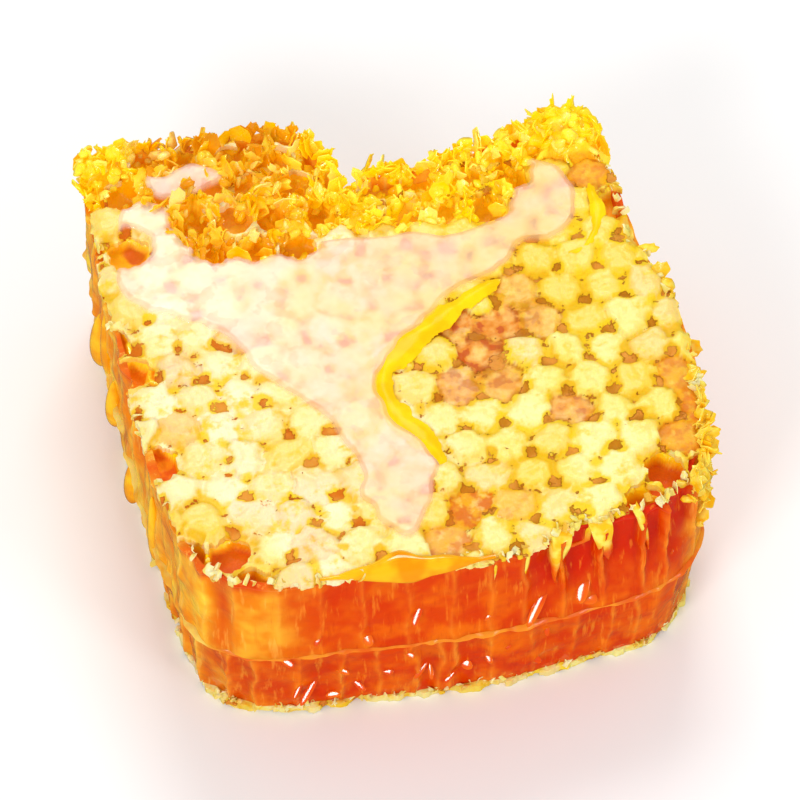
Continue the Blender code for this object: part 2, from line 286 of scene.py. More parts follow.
def bare_cells(middles):
    """For each cell, whether it has no cap."""
    named = []
    for share in OPENED:
        place = on_block(share)
        named.append(place)
        outward = place / np.linalg.norm(place) * CELL_PITCH
        for side in (-30, 30):
            c, s = math.cos(math.radians(side)), math.sin(math.radians(side))
            turned = (c * outward[0] - s * outward[1], s * outward[0] + c * outward[1])
            named.append(place + np.array(turned))
    opened = set(nearest(middles, named).tolist())
    behind = middles[:, 1] > tear_line(middles[:, 0])
    return np.array([k in opened or behind[k] for k in range(len(middles))])


# Paths


class Path:
    """A smooth closed path through stations, with its outward direction and arc length at each point."""

    def __init__(self, stations, step):
        stations = np.array([on_block(share) for share in stations])
        x, y = stations.T
        if (x * np.roll(y, -1) - y * np.roll(x, -1)).sum() < 0:
            stations = stations[::-1]
        fine = []
        t = np.arange(40)[:, None] / 40
        for k in range(len(stations)):
            before, start, end, after = (stations[(k + d) % len(stations)] for d in (-1, 0, 1, 2))
            straight = start + (end - start) * t
            pull = (end - before) * (t * (1 - t) ** 2) - (after - start) * (t * t * (1 - t))
            ease = (end - start) * (t * (1 - t) * (1 - 2 * t))
            fine.append(straight + pull / 2 - ease)
        fine = np.concatenate(fine)
        closed = np.concatenate([fine, fine[:1]])
        runs = np.concatenate([[0], np.cumsum(np.linalg.norm(np.diff(closed, axis=0), axis=1))])
        self.length = runs[-1]
        count = round(self.length / step)
        self.along = np.arange(count) * self.length / count
        self.points = np.stack([np.interp(self.along, runs, closed[:, axis]) for axis in (0, 1)], axis=1)
        ahead = np.roll(self.points, -2, axis=0) - np.roll(self.points, 2, axis=0)
        outward = np.stack([ahead[:, 1], -ahead[:, 0]], axis=1)
        self.outward = outward / np.linalg.norm(outward, axis=1)[:, None]

    def depth(self, places):
        """How far inside the path each place lies, and which point of the path is nearest."""
        near = nearest(self.points, places)
        inside = ((self.points[near] - places) * self.outward[near]).sum(axis=1)
        return inside, near


OUTER = Path(OUTLINE, PATH_STEP)
UPPER_MIDDLES = lattice(UPPER_SHIFT)
LOWER_MIDDLES = lattice(LOWER_SHIFT)
UPPER_BARE = bare_cells(UPPER_MIDDLES)


def capped_by(places):
    """How far inside the upper capping each place lies: its edge is ragged, and it stops at bare cells."""
    inside, near = OUTER.depth(places)
    front = np.maximum(0, -OUTER.outward[near][:, 1])
    setback = CAPPING_INSET + CAPPING_SETBACK * drained(OUTER.points[near]) * front
    field = inside - setback
    for middle in UPPER_MIDDLES[UPPER_BARE]:
        field = np.minimum(field, hex_reach(places - middle) - CAP_OPENING)
    solid = raised(places)
    rough = unevenness(solid, 1.7 * MM, 11) * 0.42 + unevenness(solid, 0.7 * MM, 12) * 0.28
    return field + rough * MM


# Meshes


def mesh_piece(name, verts, faces, look, attributes=None, sharp=50):
    """A smooth mesh with its marks, and with sharp edges where faces meet at more than an angle."""
    mesh = bpy.data.meshes.new(name)
    mesh.from_pydata(np.asarray(verts).tolist(), [], [list(face) for face in faces])
    for label, values in (attributes or {}).items():
        layer = mesh.attributes.new(label, "FLOAT", "POINT")
        layer.data.foreach_set("value", np.asarray(values, dtype=np.float32))
    mesh.validate()
    mesh.shade_smooth()
    mesh.set_sharp_from_angle(angle=math.radians(sharp))
    if look:
        mesh.materials.append(look)
    return placed(name, mesh)


def clipped_sheet(field, step):
    """A flat sheet of small squares where the field is positive, its edge moved onto the zero line."""
    x = np.arange(-1.08 * HALF_WIDTH, 1.08 * HALF_WIDTH, step)
    y = np.arange(-1.06 * HALF_DEPTH, 1.06 * HALF_DEPTH, step)
    grid = np.stack(np.meshgrid(x, y, indexing="ij"), axis=-1)
    inside = field(grid.reshape(-1, 2)).reshape(grid.shape[:2])
    slope = np.stack(np.gradient(inside, step), axis=-1)
    outside = inside < 0
    near = outside & (inside > -1.3 * step)
    move = -inside[..., None] * slope / np.maximum((slope**2).sum(axis=-1), 0.2)[..., None]
    length = np.linalg.norm(move, axis=-1)[..., None]
    move *= np.minimum(1, 0.8 * step / np.maximum(length, 1e-9))
    grid[near] += move[near]
    kept = ~outside | near
    corners = ((0, 0), (1, 0), (1, 1), (0, 1))
    wide, deep = kept.shape[0] - 1, kept.shape[1] - 1
    whole = np.ones((wide, deep), dtype=bool)
    some = np.zeros((wide, deep), dtype=bool)
    for i, j in corners:
        whole &= kept[i : i + wide, j : j + deep]
        some |= ~outside[i : i + wide, j : j + deep]
    numbers = np.arange(kept.size).reshape(kept.shape)
    rows = [numbers[i : i + wide, j : j + deep][whole & some] for i, j in corners]
    faces = np.stack(rows, axis=1)
    used, faces = np.unique(faces, return_inverse=True)
    return grid.reshape(-1, 2)[used], faces.reshape(-1, 4)


def slab(name, places, faces, top, underside, look, attributes=None, sharp=50):
    """A closed solid between a top and an underside over a flat sheet."""
    count = len(places)
    verts = np.concatenate([raised(places, top), raised(places, underside)])
    starts = faces.reshape(-1)
    ends = np.roll(faces, -1, axis=1).reshape(-1)
    rim = ~np.isin(starts * count + ends, ends * count + starts)
    a, b = starts[rim], ends[rim]
    sides = np.stack([b, a, a + count, b + count], axis=1)
    every = np.concatenate([faces, faces[:, ::-1] + count, sides])
    return mesh_piece(name, verts, every, look, attributes, sharp)


def both(top, underside):
    """The marks of a slab, whose vertices come top first."""
    return np.concatenate([top, underside])


def numbered_rings(count, many):
    """The vertex numbers of many rings of so many vertices each."""
    return [np.arange(count) + k * count for k in range(many)]


def ring_faces(rings):
    """Faces between neighbouring rings of numbered vertices."""
    faces = []
    for low, high in zip(rings, rings[1:]):
        faces.append(np.stack([low, np.roll(low, -1), np.roll(high, -1), high], axis=1))
    return np.concatenate(faces).tolist()


def solid_faces(rings):
    """Faces between neighbouring rings, and one face that closes each end."""
    return [*ring_faces(rings), rings[0][::-1].tolist(), rings[-1].tolist()]


def shell_faces(rows, steps):
    """Faces of a thin closed shell: a front sheet of rows by steps, one like it behind, and its sides."""
    numbers = np.arange(rows * steps).reshape(rows, steps)
    size = numbers.size
    faces = []
    for k, j in itertools.product(range(rows - 1), range(steps - 1)):
        quad = (numbers[k, j], numbers[k, j + 1], numbers[k + 1, j + 1], numbers[k + 1, j])
        faces.append(quad)
        faces.append(tuple(n + size for n in reversed(quad)))
    loop = numbers[0].tolist() + numbers[1:, -1].tolist()
    loop += numbers[-1, -2::-1].tolist() + numbers[-2:0:-1, 0].tolist()
    for a, b in zip(loop, loop[1:] + loop[:1]):
        faces.append((b, a, a + size, b + size))
    return faces


def face_outward(piece):
    """Turns the faces of a closed piece outward."""
    bm = bmesh.new()
    bm.from_mesh(piece.data)
    bmesh.ops.recalc_face_normals(bm, faces=bm.faces)
    bm.to_mesh(piece.data)
    bm.free()


def ball(subdivisions):
    """A round mesh of unit radius: its vertices and its faces."""
    bm = bmesh.new()
    bmesh.ops.create_icosphere(bm, subdivisions=subdivisions, radius=1.0)
    verts = np.array([vert.co[:] for vert in bm.verts])
    faces = [tuple(v.index for v in face.verts) for face in bm.faces]
    bm.free()
    return verts, faces


# Node trees


class Wiring:
    """Adds nodes to a tree and joins them up."""

    def __init__(self, tree):
        self.tree = tree

    def feed(self, socket, value):
        if isinstance(value, bpy.types.NodeSocket):
            self.tree.links.new(value, socket)
        else:
            socket.default_value = value

    def add(self, kind, inputs=None, **settings):
        node = self.tree.nodes.new(kind)
        for label, value in settings.items():
            setattr(node, label, value)
        for key, value in (inputs or {}).items():
            self.feed(node.inputs[key], value)
        return node

    def maths(self, operation, *values):
        node = self.add("ShaderNodeMath", dict(enumerate(values)), operation=operation)
        return node.outputs[0]

    def plus(self, first, second):
        return self.maths("ADD", first, second)

    def less(self, first, second):
        return self.maths("SUBTRACT", first, second)

    def times(self, first, second):
        return self.maths("MULTIPLY", first, second)

    def least(self, first, second):
        return self.maths("MINIMUM", first, second)

    def most(self, first, second):
        return self.maths("MAXIMUM", first, second)

    def vectors(self, operation, *values):
        node = self.add("ShaderNodeVectorMath", dict(enumerate(values)), operation=operation)
        return node.outputs["Value" if operation in ("DOT_PRODUCT", "LENGTH", "DISTANCE") else "Vector"]

    def fade(self, value, low, high, start=0.0, end=1.0):
        inputs = {"Value": value, "From Min": low, "From Max": high, "To Min": start, "To Max": end}
        node = self.add("ShaderNodeMapRange", inputs, interpolation_type="SMOOTHSTEP")
        return node.outputs["Result"]

    def blend(self, share, first, second):
        """A share of the second colour over the first."""
        return self.add("ShaderNodeMix", {0: share, 6: first, 7: second}, data_type="RGBA").outputs[2]

    def tones(self, value, low, high, first, second):
        """Fades from one colour to another, each in screen values, as a value rises from low to high."""
        return self.blend(self.fade(value, low, high), hue(*first), hue(*second))

    def named(self, label):
        """A mark stored on the mesh, in a geometry tree."""
        return self.add("GeometryNodeInputNamedAttribute", {"Name": label}, data_type="FLOAT").outputs[0]

    def dress(self, geometry, look, socket):
        """Ends a geometry tree: real faces with their material."""
        real = self.add("GeometryNodeRealizeInstances", {"Geometry": geometry}).outputs[0]
        dressed = self.add("GeometryNodeSetMaterial", {"Geometry": real, "Material": look})
        self.feed(socket, dressed.outputs[0])

    def noise(self, place, grain, detail=2.0, roughness=0.5):
        inputs = {"Vector": place, "Scale": 1 / grain, "Detail": detail, "Roughness": roughness}
        return self.add("ShaderNodeTexNoise", inputs).outputs["Fac"]


def new_tree(name, kind, inputs, output, output_kind):
    """A node group with named sockets: the group, its wiring, what it is given and what it puts out.

    Each input has a default number, whole number or vector, or else the name of its kind of socket.
    """
    tree = bpy.data.node_groups.new(name, kind)
    kinds = {float: "Float", int: "Int", tuple: "Vector"}
    for label, default in inputs.items():
        has_default = type(default) in kinds
        socket_type = "NodeSocket" + (kinds[type(default)] if has_default else default)
        socket = tree.interface.new_socket(label, in_out="INPUT", socket_type=socket_type)
        if has_default:
            socket.default_value = default
    tree.interface.new_socket(output, in_out="OUTPUT", socket_type="NodeSocket" + output_kind)
    wiring = Wiring(tree)
    return tree, wiring, wiring.add("NodeGroupInput").outputs, wiring.add("NodeGroupOutput").inputs


def grown(obj, tree, values):
    """Runs a node tree on an object and keeps the result as its plain mesh."""
    modifier = obj.modifiers.new(tree.name, "NODES")
    modifier.node_group = tree
    for item in tree.interface.items_tree:
        if item.in_out == "INPUT" and item.name in values:
            modifier[item.identifier] = values[item.name]
    graph = bpy.context.evaluated_depsgraph_get()
    graph.update()
    done = obj.evaluated_get(graph)
    mesh = bpy.data.meshes.new_from_object(done, preserve_all_data_layers=True, depsgraph=graph)
    obj.modifiers.clear()
    obj.data = mesh
    mesh.name = obj.name
    return obj


def cap_domes_tree():
    """Raises a dome over each cell of the lattice, and marks the seams between them."""
    inputs = {
        "Geometry": "Geometry",
        "Cell middles": "Object",
        "Cell pitch": CELL_PITCH,
        "Turn": LATTICE_TURN,
        "Rise": DOME_RISE,
        "Least rise share": 0.1,
        "Shoulder": 1.1 * MM,
        "Seam width": 1.1 * MM,
        "Wander": 4.0 * MM,
        "Wrinkle": 0.4 * MM,
        "Bridging": 0.9 * MM,
        "Facing": 1.0,
        "Seed": 3,
        "Wax": "Material",
    }
    tree, w, given, result = new_tree("Cap domes", "GeometryNodeTree", inputs, "Geometry", "Geometry")
    place = w.add("GeometryNodeInputPosition").outputs[0]
    swirl = w.add("ShaderNodeTexNoise", {"Vector": place, "Scale": 1 / (5 * MM), "Detail": 2.0})
    centred = w.vectors("SUBTRACT", swirl.outputs["Color"], (0.5, 0.5, 0.5))
    push = w.add("ShaderNodeVectorMath", {0: centred, "Scale": given["Wander"]}, operation="SCALE")
    push = push.outputs[0]
    flat = w.vectors("MULTIPLY", w.vectors("ADD", place, push), (1, 1, 0))
    info = w.add("GeometryNodeObjectInfo", {"Object": given["Cell middles"]})
    middles = info.outputs["Geometry"]
    cell = w.add("GeometryNodeSampleNearest", {"Geometry": middles, "Sample Position": flat}).outputs["Index"]

    def of_cell(value, kind):
        """A value kept at the middle of the nearest cell."""
        node = w.add("GeometryNodeSampleIndex", data_type=kind)
        w.feed(node.inputs["Geometry"], middles)
        w.feed(node.inputs["Value"], value)
        w.feed(node.inputs["Index"], cell)
        return node.outputs["Value"]

    middle = of_cell(w.add("GeometryNodeInputPosition").outputs[0], "FLOAT_VECTOR")
    sunken = of_cell(w.named("sunken"), "FLOAT")
    soaked = of_cell(w.named("soaked"), "FLOAT")
    offset = w.vectors("SUBTRACT", flat, middle)

    def along(degrees):
        """How far a place lies from its cell's middle, towards one side of the cell."""
        angle = w.plus(given["Turn"], math.radians(degrees))
        across, up = w.maths("COSINE", angle), w.maths("SINE", angle)
        towards = w.add("ShaderNodeCombineXYZ", {"X": across, "Y": up}).outputs[0]
        return w.vectors("DOT_PRODUCT", offset, towards)

    outs = [w.maths("ABSOLUTE", along(face)) for face in (0, 60, 120)]
    reach = w.most(w.most(outs[0], outs[1]), outs[2])
    least = w.least(w.least(outs[0], outs[1]), outs[2])
    total = w.plus(w.plus(outs[0], outs[1]), outs[2])
    second = w.maths("DIVIDE", w.less(w.less(total, reach), least), given["Cell pitch"])
    # Three caps meet at each corner, and every second corner has the same sign of this measure.
    rise = w.maths("DIVIDE", along(90), w.times(given["Cell pitch"], CORNER_SHARE))
    sort = w.times(rise, w.less(w.times(rise, rise), 0.5))
    corner = w.times(w.fade(second, 0.24, 0.48), w.fade(sort, 0.0, 0.06, 0.3, 1.0))
    across = w.add("ShaderNodeSeparateXYZ", {0: place}).outputs["X"]
    often = w.plus(w.noise(place, 4.5 * MM, 1.0), w.fade(across, -8 * MM, 12 * MM, 0.0, 0.14))
    corner = w.times(corner, w.fade(often, 0.42, 0.54))
    border = w.less(w.times(given["Cell pitch"], 0.5), reach)
    whole = w.fade(across, 6 * MM, -12 * MM, 1.0, 1.9)
    bridge = w.times(w.fade(w.noise(place, 3.4 * MM, 1.0), 0.48, 0.64), given["Bridging"])
    bridge = w.times(bridge, whole)
    border = w.plus(border, bridge)
    own = w.add("FunctionNodeRandomValue", {"ID": cell, "Seed": given["Seed"]}, data_type="FLOAT")
    w.feed(own.inputs[2], given["Least rise share"])
    lift = w.times(own.outputs[1], w.fade(border, 0.0, given["Shoulder"]))
    kept = w.less(1.0, w.most(sunken, soaked))
    lift = w.times(w.times(lift, given["Rise"]), kept)
    dip = w.times(w.most(w.less(1.0, kept), corner), -PIT_DEPTH)
    lift = w.plus(lift, dip)
    fine = w.less(w.noise(place, 0.9 * MM, 3.0, 0.6), 0.5)
    broad = w.less(w.noise(place, 2.6 * MM, 2.0), 0.5)
    crease = w.times(w.plus(w.times(fine, 1.2), broad), given["Wrinkle"])
    height = w.times(w.plus(lift, crease), w.times(w.named("crown"), given["Facing"]))
    up = w.add("ShaderNodeCombineXYZ", {"Z": height}).outputs[0]
    # The marks are stored before the sheet moves, so that they stay with its flat places.
    geometry = given["Geometry"]
    seam = w.fade(border, 0.0, given["Seam width"], 1.0, 0.0)
    tone = w.add("FunctionNodeRandomValue", {"ID": cell, "Seed": 21}, data_type="FLOAT").outputs[1]
    marks = {"seam": seam, "corner": corner, "sunken": sunken, "soaked": soaked, "cell_tone": tone}
    for label, value in marks.items():
        stored = {"Geometry": geometry, "Name": label, "Value": value}
        geometry = w.add("GeometryNodeStoreNamedAttribute", stored).outputs[0]
    moved = w.add("GeometryNodeSetPosition", {"Geometry": geometry, "Offset": up}).outputs[0]
    w.dress(moved, given["Wax"], result[0])
    return tree


def scatter_tree():
    """Stands small pieces of wax or honey all over a surface, crowded where it says so."""
    inputs = {
        "Geometry": "Geometry",
        "Bit": "Object",
        "Per square metre": 1e6,
        "Smallest": (1, 1, 1),
        "Largest": (1, 1, 1),
        "Lean": 0.6,
        "Follow surface": 1.0,
        "Spin": math.pi,
        "Seed": 1,
        "Look": "Material",
    }
    tree, w, given, result = new_tree("Scattered bits", "GeometryNodeTree", inputs, "Geometry", "Geometry")
    density = w.times(w.named("crowd"), given["Per square metre"])
    points = w.add("GeometryNodeDistributePointsOnFaces", {"Mesh": given["Geometry"], "Seed": given["Seed"]})
    w.feed(points.inputs["Density"], density)
    info = w.add("GeometryNodeObjectInfo", {"Object": given["Bit"]}).outputs["Geometry"]
    aligned = w.add("FunctionNodeAlignRotationToVector", {"Factor": given["Follow surface"]}, axis="Z")
    w.feed(aligned.inputs["Vector"], points.outputs["Normal"])
    most = w.add("ShaderNodeCombineXYZ", {"X": given["Lean"], "Y": given["Lean"], "Z": given["Spin"]})
    most = most.outputs[0]
    range_of_turns = {0: w.vectors("MULTIPLY", most, (-1, -1, -1)), 1: most, "Seed": given["Seed"]}
    turn = w.add("FunctionNodeRandomValue", range_of_turns, data_type="FLOAT_VECTOR")
    lean = w.add("FunctionNodeEulerToRotation", {0: turn.outputs[0]}).outputs[0]
    rotation = w.add("FunctionNodeRotateRotation", {"Rotation": aligned.outputs[0], "Rotate By": lean})
    rotation.rotation_space = "LOCAL"
    range_of_sizes = {0: given["Smallest"], 1: given["Largest"], "Seed": w.plus(given["Seed"], 1.0)}
    size = w.add("FunctionNodeRandomValue", range_of_sizes, data_type="FLOAT_VECTOR")
    standing = w.add("GeometryNodeInstanceOnPoints", {"Points": points.outputs["Points"], "Instance": info})
    w.feed(standing.inputs["Rotation"], rotation.outputs[0])
    w.feed(standing.inputs["Scale"], size.outputs[0])
    tone = w.add("FunctionNodeRandomValue", {"Seed": w.plus(given["Seed"], 2.0)}, data_type="FLOAT")
    store = w.add("GeometryNodeStoreNamedAttribute", {"Geometry": standing.outputs[0], "Name": "cell_tone"})
    store.domain = "INSTANCE"
    w.feed(store.inputs["Value"], tone.outputs[1])
    w.dress(store.outputs[0], given["Look"], result[0])
    return tree


# Effects that several materials share


def specks_group():
    """A mask of small irregular spots."""
    inputs = {"Place": "Vector", "Per metre": 400.0, "Least": 0.6, "Softness": 0.05}
    tree, w, given, result = new_tree("Specks", "ShaderNodeTree", inputs, "Mask", "Float")
    settings = {"Vector": given["Place"], "Scale": given["Per metre"], "Detail": 2.5}
    noise = w.add("ShaderNodeTexNoise", settings).outputs["Fac"]
    w.feed(result[0], w.fade(noise, given["Least"], w.plus(given["Least"], given["Softness"])))
    return tree


def ripple_group():
    """Low waves over two sizes, for the height of a surface."""
    inputs = {"Place": "Vector", "Broad per metre": 500.0, "Fine per metre": 2000.0, "Fine share": 0.3}
    tree, w, given, result = new_tree("Ripple", "ShaderNodeTree", inputs, "Height", "Float")
    waves = []
    for size, detail in (("Broad", 2.0), ("Fine", 3.0)):
        settings = {"Vector": given["Place"], "Scale": given[f"{size} per metre"], "Detail": detail}
        waves.append(w.add("ShaderNodeTexNoise", settings).outputs["Fac"])
    w.feed(result[0], w.plus(waves[0], w.times(waves[1], given["Fine share"])))
    return tree


SPECKS = specks_group()
RIPPLE = ripple_group()


class Look:
    """A material being made: its shader, its wiring and the place on the piece; its depth of glow in mm."""

    def __init__(self, name, roughness, subsurface=0.0, radius=(1, 0.4, 0.1), depth=1.5, shine=0.25):
        self.material = bpy.data.materials.new(name)
        self.material.use_nodes = True
        self.w = Wiring(self.material.node_tree)
        self.shader = self.material.node_tree.nodes["Principled BSDF"]
        values = {
            "Roughness": roughness,
            "IOR": HONEY_IOR,
            "Specular IOR Level": shine,
            "Subsurface Weight": subsurface,
            "Subsurface Radius": radius,
            "Subsurface Scale": depth * MM,
        }
        for label, value in values.items():
            self.shader.inputs[label].default_value = value
        self.place = self.w.add("ShaderNodeTexCoord").outputs["Object"]

    def coat(self, weight, roughness):
        self.shader.inputs["Coat Weight"].default_value = weight
        self.shader.inputs["Coat Roughness"].default_value = roughness

    def mark(self, label):
        return self.w.add("ShaderNodeAttribute", attribute_name=label).outputs["Fac"]

    def group(self, tree, **inputs):
        node = self.w.add("ShaderNodeGroup", node_tree=tree)
        self.w.feed(node.inputs["Place"], self.place)
        for label, value in inputs.items():
            self.w.feed(node.inputs[label.replace("_", " ")], value)
        return node.outputs[0]

    def stretched(self, scale, turn=(0, 0, 0)):
        """The place, turned and scaled: a scale below 1 draws a pattern out."""
        inputs = {"Vector": self.place, "Rotation": turn, "Scale": scale}
        return self.w.add("ShaderNodeMapping", inputs).outputs[0]

    def along(self, letter, low, high, start=0.0, end=1.0):
        """Fades between two places along an axis, in millimetres from the block's middle."""
        place = self.w.add("ShaderNodeSeparateXYZ", {0: self.place}).outputs[letter]
        return self.w.fade(place, low * MM, high * MM, start, end)

    def noise(self, grain, detail, roughness=0.5):
        """Clouds over the piece, whose grain is in millimetres."""
        return self.w.noise(self.place, grain * MM, detail, roughness)

    def colour(self, value):
        self.w.feed(self.shader.inputs["Base Color"], value)

    def rough(self, value):
        self.w.feed(self.shader.inputs["Roughness"], value)

    def coat_by(self, value):
        self.w.feed(self.shader.inputs["Coat Weight"], value)

    def glow(self, value, strength):
        """Painted glow: a little light of its own, standing in for light that passes through the wax and
        honey, which keeps deep yellows from turning olive in shade.
        """
        self.w.feed(self.shader.inputs["Emission Color"], value)
        self.shader.inputs["Emission Strength"].default_value = strength

    def relief(self, height, distance):
        bump = self.w.add("ShaderNodeBump", {"Height": height, "Distance": distance, "Strength": 1.0})
        self.w.feed(self.shader.inputs["Normal"], bump.outputs[0])

    def ripple(self, broad, fine, share, distance):
        """Low waves of two sizes, in waves per metre, over a distance in millimetres."""
        values = {"Broad_per_metre": broad, "Fine_per_metre": fine, "Fine_share": share}
        self.relief(self.group(RIPPLE, **values), distance * MM)


def hue(red, green, blue):
    """A colour from its screen values, 0 to 255."""
    linear = []
    for value in (red, green, blue):
        v = value / 255
        linear.append(v / 12.92 if v <= 0.04045 else ((v + 0.055) / 1.055) ** 2.4)
    return (*linear, 1)


def capping_wax_look():
    """Pale caps with lemon valleys that are partly painted shade, rusty spots at their corners, and sunken
    and honey-soaked caps.
    """
    look = Look("capping wax", 0.42, subsurface=0.3, radius=(1, 0.5, 0.1), depth=1.1, shine=0.2)
    look.coat(0.25, 0.18)
    w = look.w
    seam = look.mark("seam")
    corner = look.mark("corner")
    tone = look.mark("cell_tone")
    patch = look.noise(14, 2.0)
    pale = w.tones(patch, 0.4, 0.62, (253, 231, 146), (255, 238, 188))
    strong = w.tones(patch, 0.4, 0.62, (252, 224, 100), (254, 238, 152))
    strong = w.blend(look.along("Y", -10, 8, 0.0, 0.85), strong, hue(251, 216, 74))
    cap = w.blend(look.along("X", -6, 12), pale, strong)
    cap = w.blend(w.fade(tone, 0.1, 0.35, 0.6, 0.0), cap, hue(252, 206, 50))
    cap = w.blend(w.fade(tone, 0.84, 0.92, 0.0, 0.4), cap, hue(250, 200, 140))
    cloud = look.noise(2.2, 3.0, 0.6)
    cap = w.blend(w.fade(cloud, 0.5, 0.72), cap, hue(250, 210, 60))
    # Lemon valleys: deeper yellow in the seams between caps and round the pits where three meet, partly the
    # wax's own colour and partly painted shade in these creases.
    valley = w.tones(patch, 0.42, 0.6, (236, 184, 0), (250, 210, 10))
    vein = w.plus(look.noise(3.2, 2.0), look.along("X", -10, 10, 0.0, 0.13))
    shaded_valleys = w.times(w.fade(seam, 0.0, 0.75), w.fade(vein, 0.45, 0.6))
    shaded_valleys = w.most(shaded_valleys, w.fade(corner, 0.0, 0.28))
    body = w.blend(w.times(shaded_valleys, 0.9), cap, valley)
    rust = look.noise(1.3, 2.5)
    blotch = look.noise(1.9, 2.5)
    flush = w.tones(blotch, 0.36, 0.54, (244, 178, 92), (232, 138, 34))
    flush = w.blend(w.fade(blotch, 0.54, 0.62), flush, hue(204, 80, 0))
    flush = w.blend(w.times(seam, w.fade(rust, 0.4, 0.55)), flush, hue(182, 78, 0))
    patchy = w.times(look.mark("sunken"), w.fade(look.noise(2.6, 2.0), 0.32, 0.5, 0.5, 0.95))
    body = w.blend(patchy, body, flush)
    soak = w.tones(blotch, 0.4, 0.6, (242, 166, 0), (224, 112, 0))
    body = w.blend(w.times(look.mark("soaked"), w.fade(rust, 0.3, 0.5, 0.5, 0.95)), body, soak)
    long = look.stretched((1.0, 2.0, 1.0), (0, 0, 0.9))
    grain = w.plus(w.noise(long, 1.6 * MM, 2.5), look.noise(0.7, 2.0))
    ragged = w.plus(corner, w.times(w.less(grain, 1.0), 1.6))
    ragged = w.plus(ragged, w.times(seam, 0.3))
    spots = w.fade(ragged, 0.58, 0.76)
    edge = w.less(1.0, w.fade(ragged, 0.74, 1.04))
    edge = w.times(edge, w.fade(look.noise(1.8, 1.0), 0.42, 0.58, 0.1, 0.9))
    here = look.along("X", -6, 6)
    deeper = w.blend(here, hue(216, 106, 8), hue(194, 118, 6))
    inner = w.blend(w.fade(look.noise(4, 1.0), 0.4, 0.6), deeper, hue(228, 150, 56))
    dark = w.blend(edge, inner, w.blend(here, hue(192, 80, 0), hue(168, 92, 0)))
    look.colour(w.blend(w.times(spots, 0.92), body, dark))
    dull = w.most(w.most(spots, shaded_valleys), w.most(patchy, look.mark("soaked")))
    look.rough(w.fade(dull, 0.0, 1.0, 0.45, 0.7))
    look.coat_by(w.fade(dull, 0.0, 1.0, 0.3, 0.04))
    height = look.group(RIPPLE, Broad_per_metre=900.0, Fine_per_metre=3200.0, Fine_share=0.35)
    height = w.less(height, w.times(spots, 0.8))
    look.relief(height, 0.16 * MM)
    return look.material


def comb_honey_look():
    """Honey between the cut walls: red-orange, darker red where it lies deep in hollows and drained cells,
    partly as painted shade; amber at the left and at the back.
    """
    look = Look("honey in the cut cells", 0.16, subsurface=0.35, radius=(1, 0.4, 0.04), depth=1.5)
    look.coat(0.15, 0.08)
    w = look.w
    wall = look.mark("wall")
    deep = look.mark("deep")
    ledge = look.mark("ledge")
    amber = look.mark("amber")
    cloud = look.noise(5, 2.5, 0.55)
    red = w.tones(cloud, 0.4, 0.66, (226, 70, 0), (244, 112, 4))
    gold = w.tones(cloud, 0.38, 0.64, (248, 160, 12), (255, 208, 56))
    body = w.blend(amber, red, gold)
    # Darker red by the deep mark: partly the colour of thicker honey, partly painted shade in hollows,
    # drained cells and open holes.
    body = w.blend(w.times(deep, 0.95), body, hue(212, 34, 0))
    ridge = w.blend(amber, hue(255, 158, 40), hue(255, 216, 100))
    wisp = w.noise(look.stretched((1.0, 1.0, 0.14)), 0.95 * MM, 3.0, 0.6)
    body = w.blend(w.fade(wisp, 0.55, 0.72, 0.0, 0.5), body, ridge)
    shaded = w.blend(amber, hue(206, 40, 0), hue(240, 130, 0))
    body = w.blend(w.fade(wisp, 0.44, 0.3, 0.0, 0.35), body, shaded)
    body = w.blend(w.times(wall, 0.8), body, ridge)
    look.colour(body)
    # Painted glow on the amber parts only.
    look.glow(w.blend(amber, (0, 0, 0, 1), body), 0.08)
    look.rough(w.most(w.fade(wall, 0.0, 1.0, 0.12, 0.3), w.times(ledge, 0.85)))
    look.coat_by(w.fade(ledge, 0.0, 1.0, 0.15, 0.0))
    look.ripple(420.0, 1500.0, 0.2, 0.3)
    return look.material


